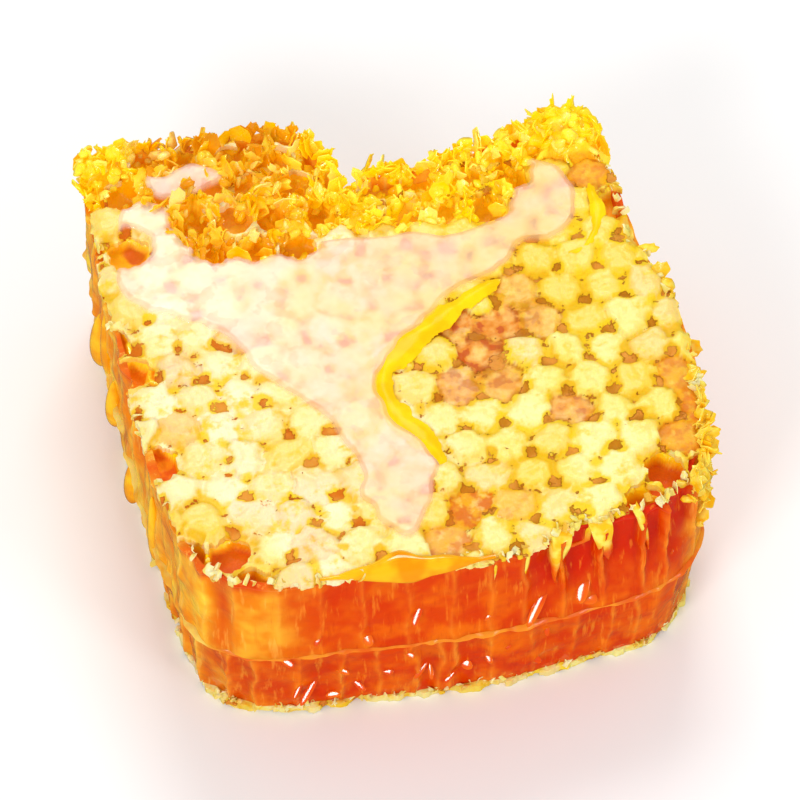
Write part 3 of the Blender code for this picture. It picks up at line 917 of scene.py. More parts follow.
def torn_wax_look():
    """Torn walls and cups: lemon wax at the right, orange at the left, and honey in the cups."""
    look = Look("torn comb wax", 0.28, subsurface=0.35, radius=(1, 0.4, 0.03), depth=0.9, shine=0.3)
    look.coat(0.6, 0.1)
    w = look.w
    tone = look.mark("cell_tone")
    wall = look.mark("wall")
    left = look.along("X", 0, -14)
    corner = look.along("X", -26, -31)
    left = w.times(left, w.less(1.0, corner))
    cloud = look.noise(3, 2.5, 0.55)
    lemon = w.tones(cloud, 0.4, 0.62, (250, 214, 0), (255, 236, 70))
    orange = w.tones(cloud, 0.4, 0.62, (238, 178, 0), (252, 220, 70))
    patches = w.fade(look.noise(6, 1.0), 0.36, 0.56, 0.5, 0.95)
    body = w.blend(w.times(left, patches), lemon, orange)
    body = w.blend(w.fade(tone, 0.3, 0.12, 0.0, 0.9), body, w.blend(left, hue(240, 168, 0), hue(220, 132, 0)))
    pale = w.times(w.fade(tone, 0.7, 0.92), w.fade(left, 0.0, 1.0, 0.5, 1.0))
    body = w.blend(pale, body, hue(255, 236, 140))
    far = w.times(look.along("Y", 30, 35), w.fade(cloud, 0.4, 0.55))
    body = w.blend(w.times(far, w.times(left, 0.6)), body, hue(198, 120, 0))
    pool = w.tones(cloud, 0.42, 0.6, (220, 82, 0), (248, 150, 0))
    rear = w.times(look.along("Y", 5, 14), w.less(1.0, left))
    pool = w.blend(w.times(rear, 0.75), pool, hue(252, 198, 0))
    burnt = w.times(rear, w.fade(look.noise(4, 1.0), 0.54, 0.64))
    pool = w.blend(burnt, pool, hue(206, 92, 0))
    pool = w.blend(w.times(left, 0.6), pool, w.tones(cloud, 0.4, 0.6, (226, 138, 0), (248, 192, 10)))
    at_front = look.along("Y", -20, -27, 0.0, 0.9)
    pool = w.blend(at_front, pool, w.blend(cloud, hue(200, 52, 0), hue(240, 110, 0)))
    body = w.blend(wall, pool, body)
    look.rough(w.fade(wall, 0.0, 0.6, 0.7, 0.28))
    look.coat_by(w.fade(wall, 0.0, 0.6, 0.03, 0.6))
    look.colour(body)
    lit = w.blend(left, hue(255, 214, 10), hue(246, 180, 6))
    # Painted glow: orange in the cups, yellow on the walls.
    look.glow(w.blend(wall, hue(222, 112, 0), lit), 0.2)
    look.ripple(900.0, 3000.0, 0.4, 0.2)
    return look.material


def cut_wall_look():
    """Cut walls at the front: yellow wax above that runs out into red honey below."""
    look = Look("cut wall wax", 0.25, subsurface=0.3, radius=(1, 0.4, 0.03), depth=0.9)
    look.coat(0.5, 0.1)
    w = look.w
    wall = look.mark("wall")
    cloud = look.noise(2, 2.0)
    wax = w.tones(cloud, 0.4, 0.62, (252, 196, 24), (255, 228, 96))
    honey = w.tones(cloud, 0.4, 0.62, (232, 84, 4), (246, 130, 14))
    body = w.blend(w.fade(wall, 0.15, 0.95), honey, wax)
    look.colour(body)
    # Painted glow in the body colour.
    look.glow(body, 0.08)
    look.ripple(700.0, 2600.0, 0.3, 0.15)
    return look.material


def crumb_look():
    """Pale crumbs of capping, some of them stained."""
    look = Look("pale capping crumbs", 0.4, subsurface=0.3, radius=(1, 0.7, 0.2), depth=1.0)
    look.coat(0.4, 0.15)
    w = look.w
    tone = look.mark("cell_tone")
    cloud = look.noise(2, 2.0)
    pale = w.tones(cloud, 0.4, 0.62, (252, 226, 104), (255, 243, 176))
    look.colour(w.blend(w.fade(tone, 0.7, 1.0), pale, hue(240, 176, 50)))
    look.ripple(1100.0, 3600.0, 0.4, 0.12)
    return look.material


def midrib_look():
    """The midrib: orange at the front, amber at the left and at the back."""
    look = Look("midrib wax", 0.32, subsurface=0.3, radius=(1, 0.4, 0.05), depth=1.2)
    look.coat(0.3, 0.14)
    w = look.w
    cloud = look.noise(4, 2.5)
    amber = look.mark("amber")
    front = w.tones(cloud, 0.4, 0.62, (240, 104, 8), (252, 150, 30))
    left = w.tones(cloud, 0.4, 0.62, (244, 170, 40), (255, 214, 104))
    look.colour(w.blend(amber, front, left))
    look.ripple(700.0, 2400.0, 0.3, 0.2)
    return look.material


def film_look():
    """The thin honey film: a clear sheet with a painted sheen, a milky cream colour standing in for the glare
    of light on it, that leaves the wax below fully lit.
    """
    look = Look("honey film", 0.12)
    look.coat(0.46, 0.06)
    w = look.w
    thick = look.mark("thick")
    cloud = look.noise(8, 2.0)
    # Painted sheen: the cream colour, paler at the left, stands in for the glare on the wet film; the coat
    # adds the real reflection.
    sheen_cream = w.tones(cloud, 0.42, 0.6, (237, 196, 140), (239, 190, 164))
    sheen_cream = w.blend(look.along("X", -8, -22), sheen_cream, hue(248, 224, 204))
    blush = look.group(SPECKS, Per_metre=330.0, Least=0.56, Softness=0.08)
    look.colour(w.blend(w.times(blush, 0.55), sheen_cream, hue(226, 164, 142)))
    streak = w.fade(look.noise(3.5, 2.0), 0.35, 0.65, 0.84, 1.1)
    alpha = w.times(w.fade(thick, 0.1, 1.0, 0.0, 0.6), streak)
    under = w.add("ShaderNodeNewGeometry").outputs["Backfacing"]
    shade = w.add("ShaderNodeLightPath").outputs["Is Shadow Ray"]
    alpha = w.times(alpha, w.less(1.0, w.most(under, shade)))
    w.feed(look.shader.inputs["Alpha"], alpha)
    look.ripple(260.0, 900.0, 0.15, 0.25)
    return look.material


def poured_honey_look(name, light, deep, coat=0.8, shine=0.25, waves=0.2, roughness=0.14):
    """Thick honey: the raised rim, the lip over the front, the drips and the drops."""
    look = Look(name, roughness, subsurface=0.25, radius=(1, 0.45, 0.03), depth=1.2, shine=shine)
    look.coat(coat, 0.05)
    w = look.w
    body = w.tones(look.noise(4, 2.0), 0.38, 0.64, deep, light)
    look.colour(body)
    # Painted glow in the body colour.
    look.glow(body, 0.14)
    look.ripple(300.0, 900.0, 0.1, waves)
    return look.material


WAX = capping_wax_look()
COMB_HONEY = comb_honey_look()
TORN_WAX = torn_wax_look()
CUT_WALL_WAX = cut_wall_look()
CRUMBS = crumb_look()
MIDRIB_WAX = midrib_look()
FILM_HONEY = film_look()
RIM_HONEY = poured_honey_look("raised honey rim", (250, 212, 12), (244, 192, 0), 0.06, 0.12, 0.1, 0.4)
LIP_HONEY = poured_honey_look("honey lip", (252, 186, 20), (238, 148, 2))
DRIP_HONEY = poured_honey_look("honey drips", (252, 196, 30), (236, 150, 2))
BEAD_HONEY = poured_honey_look("honey drops", (240, 104, 10), (226, 70, 2), 1.0, 0.5, 0.02)


# The wax cappings


def by_cell(middles, spots):
    """How strongly each cell is marked by a list of spots, each a place in shares and a strength."""
    marks = np.zeros(len(middles))
    for x, y, strength in spots:
        cell = nearest(middles, [on_block((x, y))])[0]
        marks[cell] = max(marks[cell], strength)
    return marks


def cell_points(name, middles, sunken=(), soaked=()):
    """One point for each cell, which tells the domes where the caps are and how they have fared."""
    marks = {"sunken": by_cell(middles, sunken), "soaked": by_cell(middles, soaked)}
    return mesh_piece(name, raised(middles), [], None, marks)


def upper_capping(domes):
    """The upper capping: a slab with a drooping cut edge, and a dome over each cell."""
    places, faces = clipped_sheet(capped_by, CAPPING_GRID)
    inside = capped_by(places)
    droop = 0.7 * MM * smoothstep(1.2 * MM, 0.0, inside)
    level = np.zeros(len(places))
    marks = {"crown": both(level + 1, level)}
    caps = slab("wax_caps", places, faces, CAPPING_VALLEY - droop, UPPER_CELLS_TOP - 0.1 * MM, WAX, marks)
    middles = cell_points("upper_cell_middles", UPPER_MIDDLES, SUNKEN, SOAKED)
    grown(caps, domes, {"Cell middles": middles, "Rise": 0.8 * DOME_RISE, "Wax": WAX})
    bpy.data.objects.remove(middles)
    return caps


def lower_capping(domes):
    """The lower capping: a ragged slab with worn, flattened domes underneath."""

    def field(places):
        inside, _ = OUTER.depth(places)
        solid = raised(places)
        rough = unevenness(solid, 1.8 * MM, 41) * 0.5 + unevenness(solid, 0.8 * MM, 42) * 0.35
        return inside - 1.05 * BASE_TUCK + rough * MM

    places, faces = clipped_sheet(field, LOWER_CAPPING_GRID)
    worn = 0.4 * MM
    edge = smoothstep(1.5 * MM, 0.0, field(places))
    top = LOWER_CAPPING_TOP + 0.15 * MM - 0.5 * MM * edge
    level = np.zeros(len(places))
    marks = {"crown": both(level, level + 1)}
    caps = slab("lower_wax_caps", places, faces, top, worn, WAX, marks)
    middles = cell_points("lower_cell_middles", LOWER_MIDDLES)
    values = {"Cell middles": middles, "Rise": worn, "Least rise share": 1.0, "Wrinkle": 0.0, "Bridging": 0.0}
    grown(caps, domes, {**values, "Facing": -1.0, "Wax": WAX})
    bpy.data.objects.remove(middles)
    return caps


# The cut honeycomb


def wall_crossings(path, middles):
    """Where along the knife's path it crossed a wall, leaving out slivers."""
    cells = nearest(middles, path.points)
    crossed = path.along[cells != np.roll(cells, 1)]
    kept = [crossed[0]]
    for place in crossed[1:]:
        if place - kept[-1] > LEAST_WALL_GAP:
            kept.append(place)
    return np.array(kept)


def cut_layer(name, middles, floor, top, levels, lean, hollows, seed):
    """One layer of honey cells with its cut side faces, closed above and below."""
    is_upper = name == "cut_honey_upper"
    rng = np.random.default_rng(seed)
    walls = wall_crossings(OUTER, middles)
    count = len(OUTER.points)
    v = np.linspace(0, 1, levels)
    height = floor + v[None, :] * (top[:, None] - floor)
    places = raised(np.repeat(OUTER.points[:, None, :], levels, axis=1), 0.0)
    places[..., 2] = height
    along = OUTER.along[:, None] + 0.6 * MM * unevenness(places, (6 * MM, 6 * MM, 4.5 * MM), seed + 1)
    along = along + 0.22 * MM * unevenness(places, (2 * MM, 2 * MM, 1.8 * MM), seed + 8)
    along = along % OUTER.length
    ends = np.concatenate([walls, [walls[0] + OUTER.length]])
    run = np.searchsorted(walls, along, side="right") - 1
    wrapped = run < 0
    run = np.where(wrapped, len(walls) - 1, run)
    along = np.where(wrapped, along + OUTER.length, along)
    width = (ends[1:] - ends[:-1])[run]
    across = (along - ends[run]) / width
    from_wall = np.minimum(across, 1 - across) * width
    bowl = 1 - np.abs(2 * across - 1) ** 2.6

    outward = np.repeat(OUTER.outward[:, None, :], levels, axis=1)
    back = smoothstep(0.3, 0.8, outward[..., 1])
    left = smoothstep(0.4, 0.9, -outward[..., 0])
    right = smoothstep(0.5, 0.95, outward[..., 0])
    dry_along = drained(OUTER.points) if is_upper else np.zeros(count)
    dry = np.repeat(dry_along[:, None], levels, axis=1)
    hollow = HONEY_HOLLOW * rng.uniform(-0.25, 1.2, len(walls))[run] * np.minimum(1, width / (4 * MM))
    empty = DRAINED_HOLLOW * dry * rng.uniform(0.6, 1.0, len(walls))[run]
    share = np.interp(v, LAYER_SHARES, hollows)[None, :]
    opened = np.interp(v, LAYER_SHARES, (0, 0.25, 1, 1))[None, :]
    inwards = hollow * bowl * share + empty * smoothstep(0.1 * MM, 0.8 * MM, from_wall) * opened
    wall = np.exp(-((from_wall / (0.3 * MM)) ** 2)) * rng.uniform(0.25, 1, len(walls))[run]
    wall = wall * (0.55 + 0.45 * unevenness(places, 3 * MM, seed + 2))
    streaks = unevenness(places, (1.9 * MM, 1.9 * MM, 8 * MM), seed + 3)
    lumps = unevenness(places, 2.4 * MM, seed + 4)
    fine = unevenness(places, 1.0 * MM, seed + 5)
    swell = 0.13 * streaks + 0.1 * lumps + 0.04 * fine
    swell = swell + left * (0.42 * streaks + 0.15 * lumps) + back * (0.55 * lumps + 0.3 * fine)
    out = np.interp(v, (0, 0.55, 1), lean)[None, :] - inwards + 0.2 * MM * wall + swell * MM
    flat = OUTER.points[:, None, :] + outward * out[..., None]

    verts = raised(flat, 0.0)
    verts[..., 2] = height
    inset = 1.1 * MM + 1.3 * MM * dry_along
    ledge = raised(OUTER.points - OUTER.outward * inset[:, None], 0.0)
    ledge[:, 2] = top
    well = raised(OUTER.points - OUTER.outward * (inset + 0.2 * MM)[:, None], 0.0)
    well[:, 2] = top.min() - WELL_DEPTH
    rings = [verts[:, j] for j in range(levels)] + [ledge, well]
    faces = solid_faces(numbered_rings(count, len(rings)))

    behind = smoothstep(0.5, 0.62, places[..., 1] / HALF_DEPTH)
    toned = np.maximum(1.0 * left + 0.8 * back + 0.6 * right, behind)
    front_corner = smoothstep(-0.45, -0.75, places[..., 0] / HALF_WIDTH) * (1 - left)
    corner_share, amber_share = (1.0, 1.0) if is_upper else (0.35, 0.72)
    toned = np.clip(np.maximum(toned, 0.6 * front_corner * corner_share), 0, 1) * amber_share
    toned = np.clip(toned * (1 + 0.35 * unevenness(places, 5 * MM, seed + 6)), 0, 1)
    # The deep mark darkens the honey's red: more where the face is hollowed in, in drained cells and in the
    # middle of each cell between walls; partly the colour of thicker honey, partly painted shade in these
    # hollows.
    pooled = 0.35 * bowl * np.clip(0.5 + unevenness(places, 4 * MM, seed + 7), 0, 1)
    deep = np.clip(0.75 * inwards / DRAINED_HOLLOW + 0.45 * dry * opened * bowl + pooled, 0, 1)
    # Beside open cells, the top of the face and its ledge get darker too: partly the honey in those cells,
    # partly painted shade in the holes.
    if is_upper:
        brink = smoothstep(0.86, 1.0, v)[None, :] * opened_along()[:, None]
        deep = np.maximum(deep, 0.8 * brink * (1 - behind))
    marks = {}
    for label, values in (("wall", np.clip(wall, 0, 1)), ("deep", deep), ("amber", toned)):
        values = np.broadcast_to(values, height.shape)
        marks[label] = np.concatenate([values.T.reshape(-1), values[:, -1], values[:, -1]])
    marks["ledge"] = np.repeat([0.0, 1.0], [count * (levels - 1), count * 3])
    return mesh_piece(name, np.concatenate(rings), faces, COMB_HONEY, marks, sharp=70)


def opened_along():
    """How far the outline runs beside cells with no cap, between 0 and 1, eased at their walls."""
    bare = UPPER_BARE[nearest(UPPER_MIDDLES, OUTER.points)].astype(float)
    reach = 9
    width = 2 * reach + 1
    return np.convolve(np.concatenate([bare[-reach:], bare, bare[:reach]]), np.ones(width), "valid") / width


def torn_edge():
    """The height of the cut face's top: level under the caps, and jagged where cells stand open."""
    bare = opened_along()
    back = smoothstep(0.4, 0.6, OUTER.points[:, 1] / HALF_DEPTH)
    solid = raised(OUTER.points)
    jag = unevenness(solid, 2.0 * MM, 51) * 0.9 + unevenness(solid, 0.8 * MM, 52) * 0.5
    return UPPER_CELLS_TOP + 0.2 * MM + bare * (0.3 + back * 0.7) * jag * MM


def midrib_ledge():
    """The midrib as a wavy ledge between the layers, rounded over its edge."""
    rounds = ((-0.25, -0.8), (-0.1, -0.1), (0.25, 0.25), (0.5, 0.4), (0.75, 0.25), (1.1, -0.1), (1.25, -0.8))
    points = raised(OUTER.points)
    wave = 0.35 * unevenness(points, 3 * MM, 61) + 0.25 * unevenness(points, 1.1 * MM, 62)
    drift = 0.25 * MM * unevenness(points, 7 * MM, 63)
    rings = []
    for share, out in rounds:
        ring = raised(OUTER.points + OUTER.outward * ((out + wave) * MM)[:, None])
        ring[:, 2] = MIDRIB_UNDERSIDE + share * (MIDRIB_TOP - MIDRIB_UNDERSIDE) + drift
        rings.append(ring)
    faces = solid_faces(numbered_rings(len(points), len(rings)))
    amber = smoothstep(0.4, 0.9, -OUTER.outward[:, 0]) + smoothstep(0.3, 0.8, OUTER.outward[:, 1])
    marks = {"amber": np.tile(np.clip(amber, 0, 1), len(rings))}
    return mesh_piece("midrib_ledge", np.concatenate(rings), faces, MIDRIB_WAX, marks)


# The torn cells


def torn_field(places):
    """Positive where the cells stand open, and a little way under the edge of the capping."""
    inside, near = OUTER.depth(places)
    behind = smoothstep(0.5, 0.62, OUTER.points[near][:, 1] / HALF_DEPTH)
    inset = 0.95 * MM - 0.75 * MM * behind + 1.1 * MM * drained(OUTER.points[near])
    return np.minimum(inside - inset, 1.1 * MM - capped_by(places))


def tuft_share(places, middle, reach):
    """How much each place belongs to a tuft, from 0 to 1."""
    away = (places - on_block(middle)) / reach
    return np.exp(-((away**2).sum(axis=-1)) ** 1.4)


def torn_cells():
    """The open cells: cups of honey between broken walls, over the tear and wherever a cap is missing."""
    places, faces = clipped_sheet(torn_field, TORN_GRID)
    solid = raised(places)
    warp = np.stack([unevenness(solid, 3 * MM, 71), unevenness(solid, 3 * MM, 72)], axis=1) * 0.9 * MM
    cell = nearest(UPPER_MIDDLES, places + warp)
    reach = hex_reach(places + warp - UPPER_MIDDLES[cell])
    border = CELL_PITCH / 2 - reach
    rng = np.random.default_rng(73)
    cup = rng.uniform(0.35, 1.0, len(UPPER_MIDDLES))[cell] * np.where(UPPER_BARE[cell], CUP_DEPTH, 0.3 * MM)
    behind = smoothstep(-1.5 * MM, 1.5 * MM, places[:, 1] - tear_line(places[:, 0]))
    tuft = tuft_share(places, TUFT_MIDDLE, TUFT_REACH)
    corner = tuft_share(places, CORNER_TUFT_MIDDLE, CORNER_TUFT_REACH)
    jag = unevenness(solid, 1.6 * MM, 74) * 0.9 + unevenness(solid, 0.7 * MM, 75) * 0.5
    swell = unevenness(solid, 8 * MM, 76)
    rim = UPPER_CELLS_TOP + 0.1 * MM + behind * (0.9 + 0.7 * jag + 0.6 * swell) * TORN_RISE
    rim = rim + 0.25 * MM * jag * (1 - behind) + tuft * 0.55 * (TUFT_TOP - UPPER_CELLS_TOP)
    rim = rim + corner * CORNER_TUFT_RISE
    level = UPPER_CELLS_TOP - cup + 0.6 * corner * CORNER_TUFT_RISE
    level = level + tuft * 0.35 * (TUFT_TOP - UPPER_CELLS_TOP)
    level = level + 0.6 * MM * np.exp(-border / (0.5 * MM)) + 0.2 * MM * unevenness(solid, 1.5 * MM, 77)
    wall = smoothstep(0.55 * MM, 0.12 * MM, border)
    broken = smoothstep(-0.25, 0.35, unevenness(solid, 2.4 * MM, 78) + 0.35)
    rim = level + (rim - level) * (0.35 + 0.65 * broken)
    top = level + (rim - level) * wall
    shift = np.stack([unevenness(solid, 4 * MM, 79), unevenness(solid, 4 * MM, 80)], axis=1)
    leaned = places + shift * (0.8 * MM * behind * wall)[:, None]
    tone = rng.uniform(0, 1, len(UPPER_MIDDLES))[cell]
    thin = 1 - 0.45 * smoothstep(-0.05, -0.4, places[:, 0] / HALF_WIDTH) * (1 - corner)
    deepest = np.full(len(places), UPPER_CELLS_TOP - 5.5 * MM)
    brink = smoothstep(1.2 * MM, 0.5 * MM, torn_field(places))
    under = deepest + brink * (level - 0.5 * MM - deepest)
    marks = {
        "wall": both(np.maximum(wall, 0.4 * behind), np.zeros(len(places))),
        "cell_tone": both(tone, tone),
        "crowd": both(behind * (0.3 + 0.7 * wall) * (1 - tuft) * thin, np.zeros(len(places))),
    }
    return slab("torn_cells", leaned, faces, top, under, TORN_WAX, marks, sharp=60)


def wax_flake(name, seed, thick=0.16, curl=0.35, taper=0.45):
    """One torn bit of wall, a unit wide and high, standing on the ground plane, thin and curled."""
    rng = np.random.default_rng(seed)
    across, up = 4, 4
    x = np.linspace(-0.5, 0.5, across)
    z = np.linspace(-0.15, 1.0, up)
    sheet = []
    for j in range(up):
        narrow = 1 - taper * (j / (up - 1)) ** 2
        for i in range(across):
            wide = x[i] * narrow + rng.uniform(-0.07, 0.07)
            tall = z[j] + (rng.uniform(-0.28, 0.1) if j == up - 1 else rng.uniform(-0.05, 0.05))
            bow = curl * (4 * x[i] ** 2 - 0.4) + 0.25 * curl * z[j] ** 2 + rng.uniform(-0.05, 0.05)
            sheet.append((wide, bow, tall))
    sheet = np.array(sheet)
    verts = np.concatenate([sheet, sheet + np.array((0, thick, 0))])
    marks = {"wall": np.ones(len(verts))}
    return mesh_piece(name, verts, shell_faces(up, across), None, marks, sharp=40)


def wax_crumb(name, seed):
    """One lump of torn wax, about a unit across."""
    bm = bmesh.new()
    bmesh.ops.create_cube(bm, size=1.0)
    bmesh.ops.subdivide_edges(bm, edges=bm.edges, cuts=1, use_grid_fill=True)
    rng = np.random.default_rng(seed)
    for vert in bm.verts:
        vert.co = vert.co.normalized() * 0.5 * rng.uniform(0.72, 1.2)
        vert.co.x *= 1.25
        vert.co.z = vert.co.z * 0.8 + 0.15
    verts = [vert.co[:] for vert in bm.verts]
    faces = [tuple(v.index for v in face.verts) for face in bm.faces]
    bm.free()
    piece = mesh_piece(name, verts, faces, None, {"wall": np.ones(len(verts))}, sharp=180)
    face_outward(piece)
    return piece


def tuft_core():
    """The lumpy heart of the tuft, from which its torn walls stand out."""
    unit, faces = ball(4)
    base = on_block(TUFT_MIDDLE)
    low = UPPER_CELLS_TOP - 2 * MM
    tall = TUFT_TOP - low
    lump = 1 + 0.22 * unevenness(unit, 0.45, 81) + 0.12 * unevenness(unit, 0.22, 82)
    neck = 1 - 0.22 * np.exp(-(((unit[:, 2] + 0.1) / 0.25) ** 2))
    body = unit * lump[:, None]
    out = np.stack([body[:, 0] * neck * 4.2 * MM, body[:, 1] * neck * 2.8 * MM], axis=1) + base
    verts = raised(out)
    verts[:, 2] = low + (body[:, 2] * 0.5 + 0.5) * tall * 0.93
    marks = {
        "wall": np.clip(0.75 + 0.4 * (lump - 1) / 0.2, 0, 1),
        "cell_tone": np.full(len(verts), 0.4),
        "crowd": smoothstep(0.1, 0.5, body[:, 2] * 0.5 + 0.5),
    }
    return mesh_piece("tuft_core", verts, faces, TORN_WAX, marks)


def scattered(name, tree, surface, bit, look, values):
    """Grows bits over a copy of a surface, as a piece of its own."""
    obj = placed(name, surface.data.copy())
    grown(obj, tree, {"Bit": bit, "Look": look, **values})
    obj.data.shade_smooth()
    return obj


def capping_edge_strip(name, height, inset, weight):
    """A narrow band along the outline, where crumbs gather."""
    inner = OUTER.points - OUTER.outward * (inset + 0.9 * MM)[:, None]
    outer = OUTER.points - OUTER.outward * (inset - 0.1 * MM)[:, None]
    verts = np.concatenate([raised(inner, height), raised(outer, height)])
    faces = ring_faces(numbered_rings(len(inner), 2)[::-1])
    return mesh_piece(name, verts, faces, None, {"crowd": np.tile(weight, 2)})


def side_band(name, low, high, inset, weight):
    """An upright band around the outline, crowded near its top and bare at its foot."""
    ring = OUTER.points - OUTER.outward * inset
    shares, crowds = (0, 0.5, 0.8, 1), (0, 0.12, 0.45, 1)
    verts = np.concatenate([raised(ring, low + share * (high - low)) for share in shares])
    crowd = np.concatenate([share * weight for share in crowds])
    return mesh_piece(name, verts, ring_faces(numbered_rings(len(ring), len(shares))), None, {"crowd": crowd})


# The honey on top


def spread_field(stations, on_caps):
    """Positive inside an outline that honey has spread to; on the caps it stops where they stop."""
    path = Path(stations, 0.4 * MM)

    def field(places):
        solid = raised(places)
        rough = unevenness(solid, 2.2 * MM, 91) * 0.5 + unevenness(solid, 5 * MM, 92) * 0.5
        spread = path.depth(places)[0] + rough * MM
        return np.minimum(spread, capped_by(places) - 0.1 * MM) if on_caps else spread

    return field


def run_field(stations, half_width, seed):
    """Positive along a line that honey has run down, wide in the middle and thin at both ends."""
    line = np.array([on_block(share) for share in stations])
    runs = np.concatenate([[0], np.cumsum(np.linalg.norm(np.diff(line, axis=0), axis=1))])
    along = np.linspace(0, runs[-1], 120)
    points = np.stack([np.interp(along, runs, line[:, axis]) for axis in (0, 1)], axis=1)
    for _ in range(14):
        points[1:-1] = (points[:-2] + points[1:-1] * 2 + points[2:]) / 4
    share = along / runs[-1]
    size = smoothstep(0, 0.4, share) * smoothstep(1.05, 0.8, share)
    size = (0.5 + 0.5 * size) * smoothstep(0, 0.05, share) * smoothstep(1, 0.95, share)
    size = size * (1 + 0.35 * unevenness(raised(points), 3.4 * MM, seed))

    def field(places):
        near = nearest(points, places)
        away = np.linalg.norm(places - points[near], axis=1)
        solid = raised(places)
        rough = 0.32 * unevenness(solid, 1.7 * MM, seed + 1) + 0.2 * unevenness(solid, 0.8 * MM, seed + 2)
        return size[near] * half_width - away + rough * MM

    return field


def honey_sheet(name, field, height, rise, brink, look):
    """A thin sheet of honey where the field is positive, that rises from its edge over the brink."""
    places, faces = clipped_sheet(field, HONEY_GRID)
    fill = smoothstep(-0.1 * MM, brink, field(places))
    wave = unevenness(raised(places), 6 * MM, 93)
    top = height + fill * (1 + 0.16 * wave) * rise
    under = top - 0.08 * MM - 0.5 * rise * fill
    return slab(name, places, faces, top, under, look, {"thick": both(fill, fill)})


def hanging_honey(name, low_x, high_x, reach_down, look, seed):
    """Honey that has run over the front edge and hangs from it in scallops."""
    chosen = (OUTER.outward[:, 1] < -0.6) & (OUTER.points[:, 0] > low_x) & (OUTER.points[:, 0] < high_x)
    index = np.nonzero(chosen)[0]
    index = index[np.argsort(OUTER.points[index, 0])]
    points, outward = OUTER.points[index], OUTER.outward[index]
    share = np.linspace(0, 1, len(index))
    body = smoothstep(0, 0.45, share) * smoothstep(1, 0.6, share)
    scallop = 0.75 + 0.45 * unevenness(raised(points), (3.0 * MM, 3.0 * MM, 1), seed)
    down = reach_down * body * scallop
    inland = 1 + 0.5 * unevenness(raised(points), (3.6 * MM, 3.6 * MM, 1), seed + 1)
    front = []
    for out, up, fall in LIP_PROFILE:
        reach_in = inland if out < 0 else 1.0
        ring = raised(points + outward * (out * MM * np.maximum(body, 0.15) * reach_in)[:, None])
        ring[:, 2] = CAPPING_VALLEY + up * MM * np.maximum(body, 0.1) - down * fall
        front.append(ring)
    front = np.stack(front, axis=1)
    back = front.copy()
    back[..., :2] -= outward[:, None, :] * 0.5 * MM
    back[..., 2] -= 0.5 * MM
    verts = np.concatenate([front.reshape(-1, 3), back.reshape(-1, 3)])
    piece = mesh_piece(name, verts, shell_faces(*front.shape[:2]), look, sharp=80)
    face_outward(piece)
    return piece


def honey_drop(name, middle, outward, sizes, look, droop=0.35):
    """A drop of honey clinging to an upright face: fuller at its foot."""
    unit, faces = ball(4)
    wide, tall, proud = sizes
    fuller = 1 - droop * unit[:, 2]
    across, out = unit[:, 0] * wide * fuller, unit[:, 1] * proud * fuller
    side = np.array((-outward[1], outward[0]))
    verts = raised(across[:, None] * side + out[:, None] * outward, unit[:, 2] * tall) + middle
    return mesh_piece(name, verts, faces, look, sharp=180)


def joined(name, pieces):
    """Several pieces with one look as a single piece."""
    bm = bmesh.new()
    for piece in pieces:
        bm.from_mesh(piece.data)
    mesh = bpy.data.meshes.new(name)
    bmesh.ops.recalc_face_normals(bm, faces=bm.faces)
    bm.to_mesh(mesh)
    bm.free()
    mesh.shade_smooth()
    mesh.materials.append(pieces[0].data.materials[0])
    for piece in pieces:
        bpy.data.objects.remove(piece)
    return placed(name, mesh)


def outline_at(share):
    """The outline's point and outward direction nearest to a place given in shares."""
    place = on_block(share)
    k = int(np.argmin(((OUTER.points - place) ** 2).sum(axis=1)))
    return OUTER.points[k], OUTER.outward[k]


def wall_at(share):
    """The outline's point and outward direction at the upper cell wall nearest to a place in shares."""
    place = on_block(share)
    crossings = wall_crossings(OUTER, UPPER_MIDDLES)
    index = np.searchsorted(OUTER.along, crossings)
    k = index[int(np.argmin(((OUTER.points[index] - place) ** 2).sum(axis=1)))]
    return OUTER.points[k], OUTER.outward[k]


def wall_blade(name, share, tall, wide, blunt, seed):
    """A cut wall that stands proud of the drained front, wide above and running out into honey below."""
    point, outward = wall_at(share)
    side = np.array((-outward[1], outward[0]))
    rng = np.random.default_rng(seed)
    levels, across = 16, 5
    lean = rng.uniform(-0.1, 0.1)
    left, right = rng.uniform(0.7, 1.3, 2)
    front = []
    for j in range(levels):
        t = j / (levels - 1)
        half = wide / 2 * (1 - t**blunt) * (1 + 0.15 * math.sin(7 * t + 2 * seed)) + 0.1 * MM
        drift = lean * t * tall + 0.3 * MM * math.sin(3 * t + seed)
        for i in range(across):
            u = i / (across - 1) * 2 - 1
            stretch = left if u < 0 else right
            out = (0.15 - 0.45 * t) * MM - 0.45 * MM * u * u - 0.9 * MM * (1 - t) ** 8
            place = point + side * (u * half * stretch + drift) + outward * out
            front.append((*place, UPPER_CELLS_TOP + 0.6 * MM - t * tall + rng.uniform(-0.1, 0.1) * MM))
    front = np.array(front)
    back = front.copy()
    back[:, :2] -= outward * BLADE_DEPTH
    fading = 1 - smoothstep(0.25, 0.9, np.linspace(0, 1, levels))
    verts = np.concatenate([front, back])
    marks = {"wall": np.tile(np.repeat(fading, across), 2), "cell_tone": np.full(len(verts), 0.3)}
    piece = mesh_piece(name, verts, shell_faces(levels, across), CUT_WALL_WAX, marks, sharp=60)
    face_outward(piece)
    return piece


def honey_lens(name, spot, facing, sizes, turn):
    """A flat drop of honey that clings to the cut face, its broad side turned to a direction."""
    half_width, half_length, half_depth = sizes
    across = Vector((0, 0, 1)).cross(facing).normalized()
    up = facing.cross(across).normalized()
    c, s = math.cos(turn), math.sin(turn)
    across, up = across * c + up * s, up * c - across * s
    unit, faces = ball(3)
    x, y, z = unit.T[:, :, None]
    verts = x * half_width * (1 - 0.25 * y) * np.array(across) + y * half_length * np.array(up)
    verts = spot + verts + z * half_depth * np.array(facing)
    return mesh_piece(name, verts, faces, BEAD_HONEY, sharp=180)


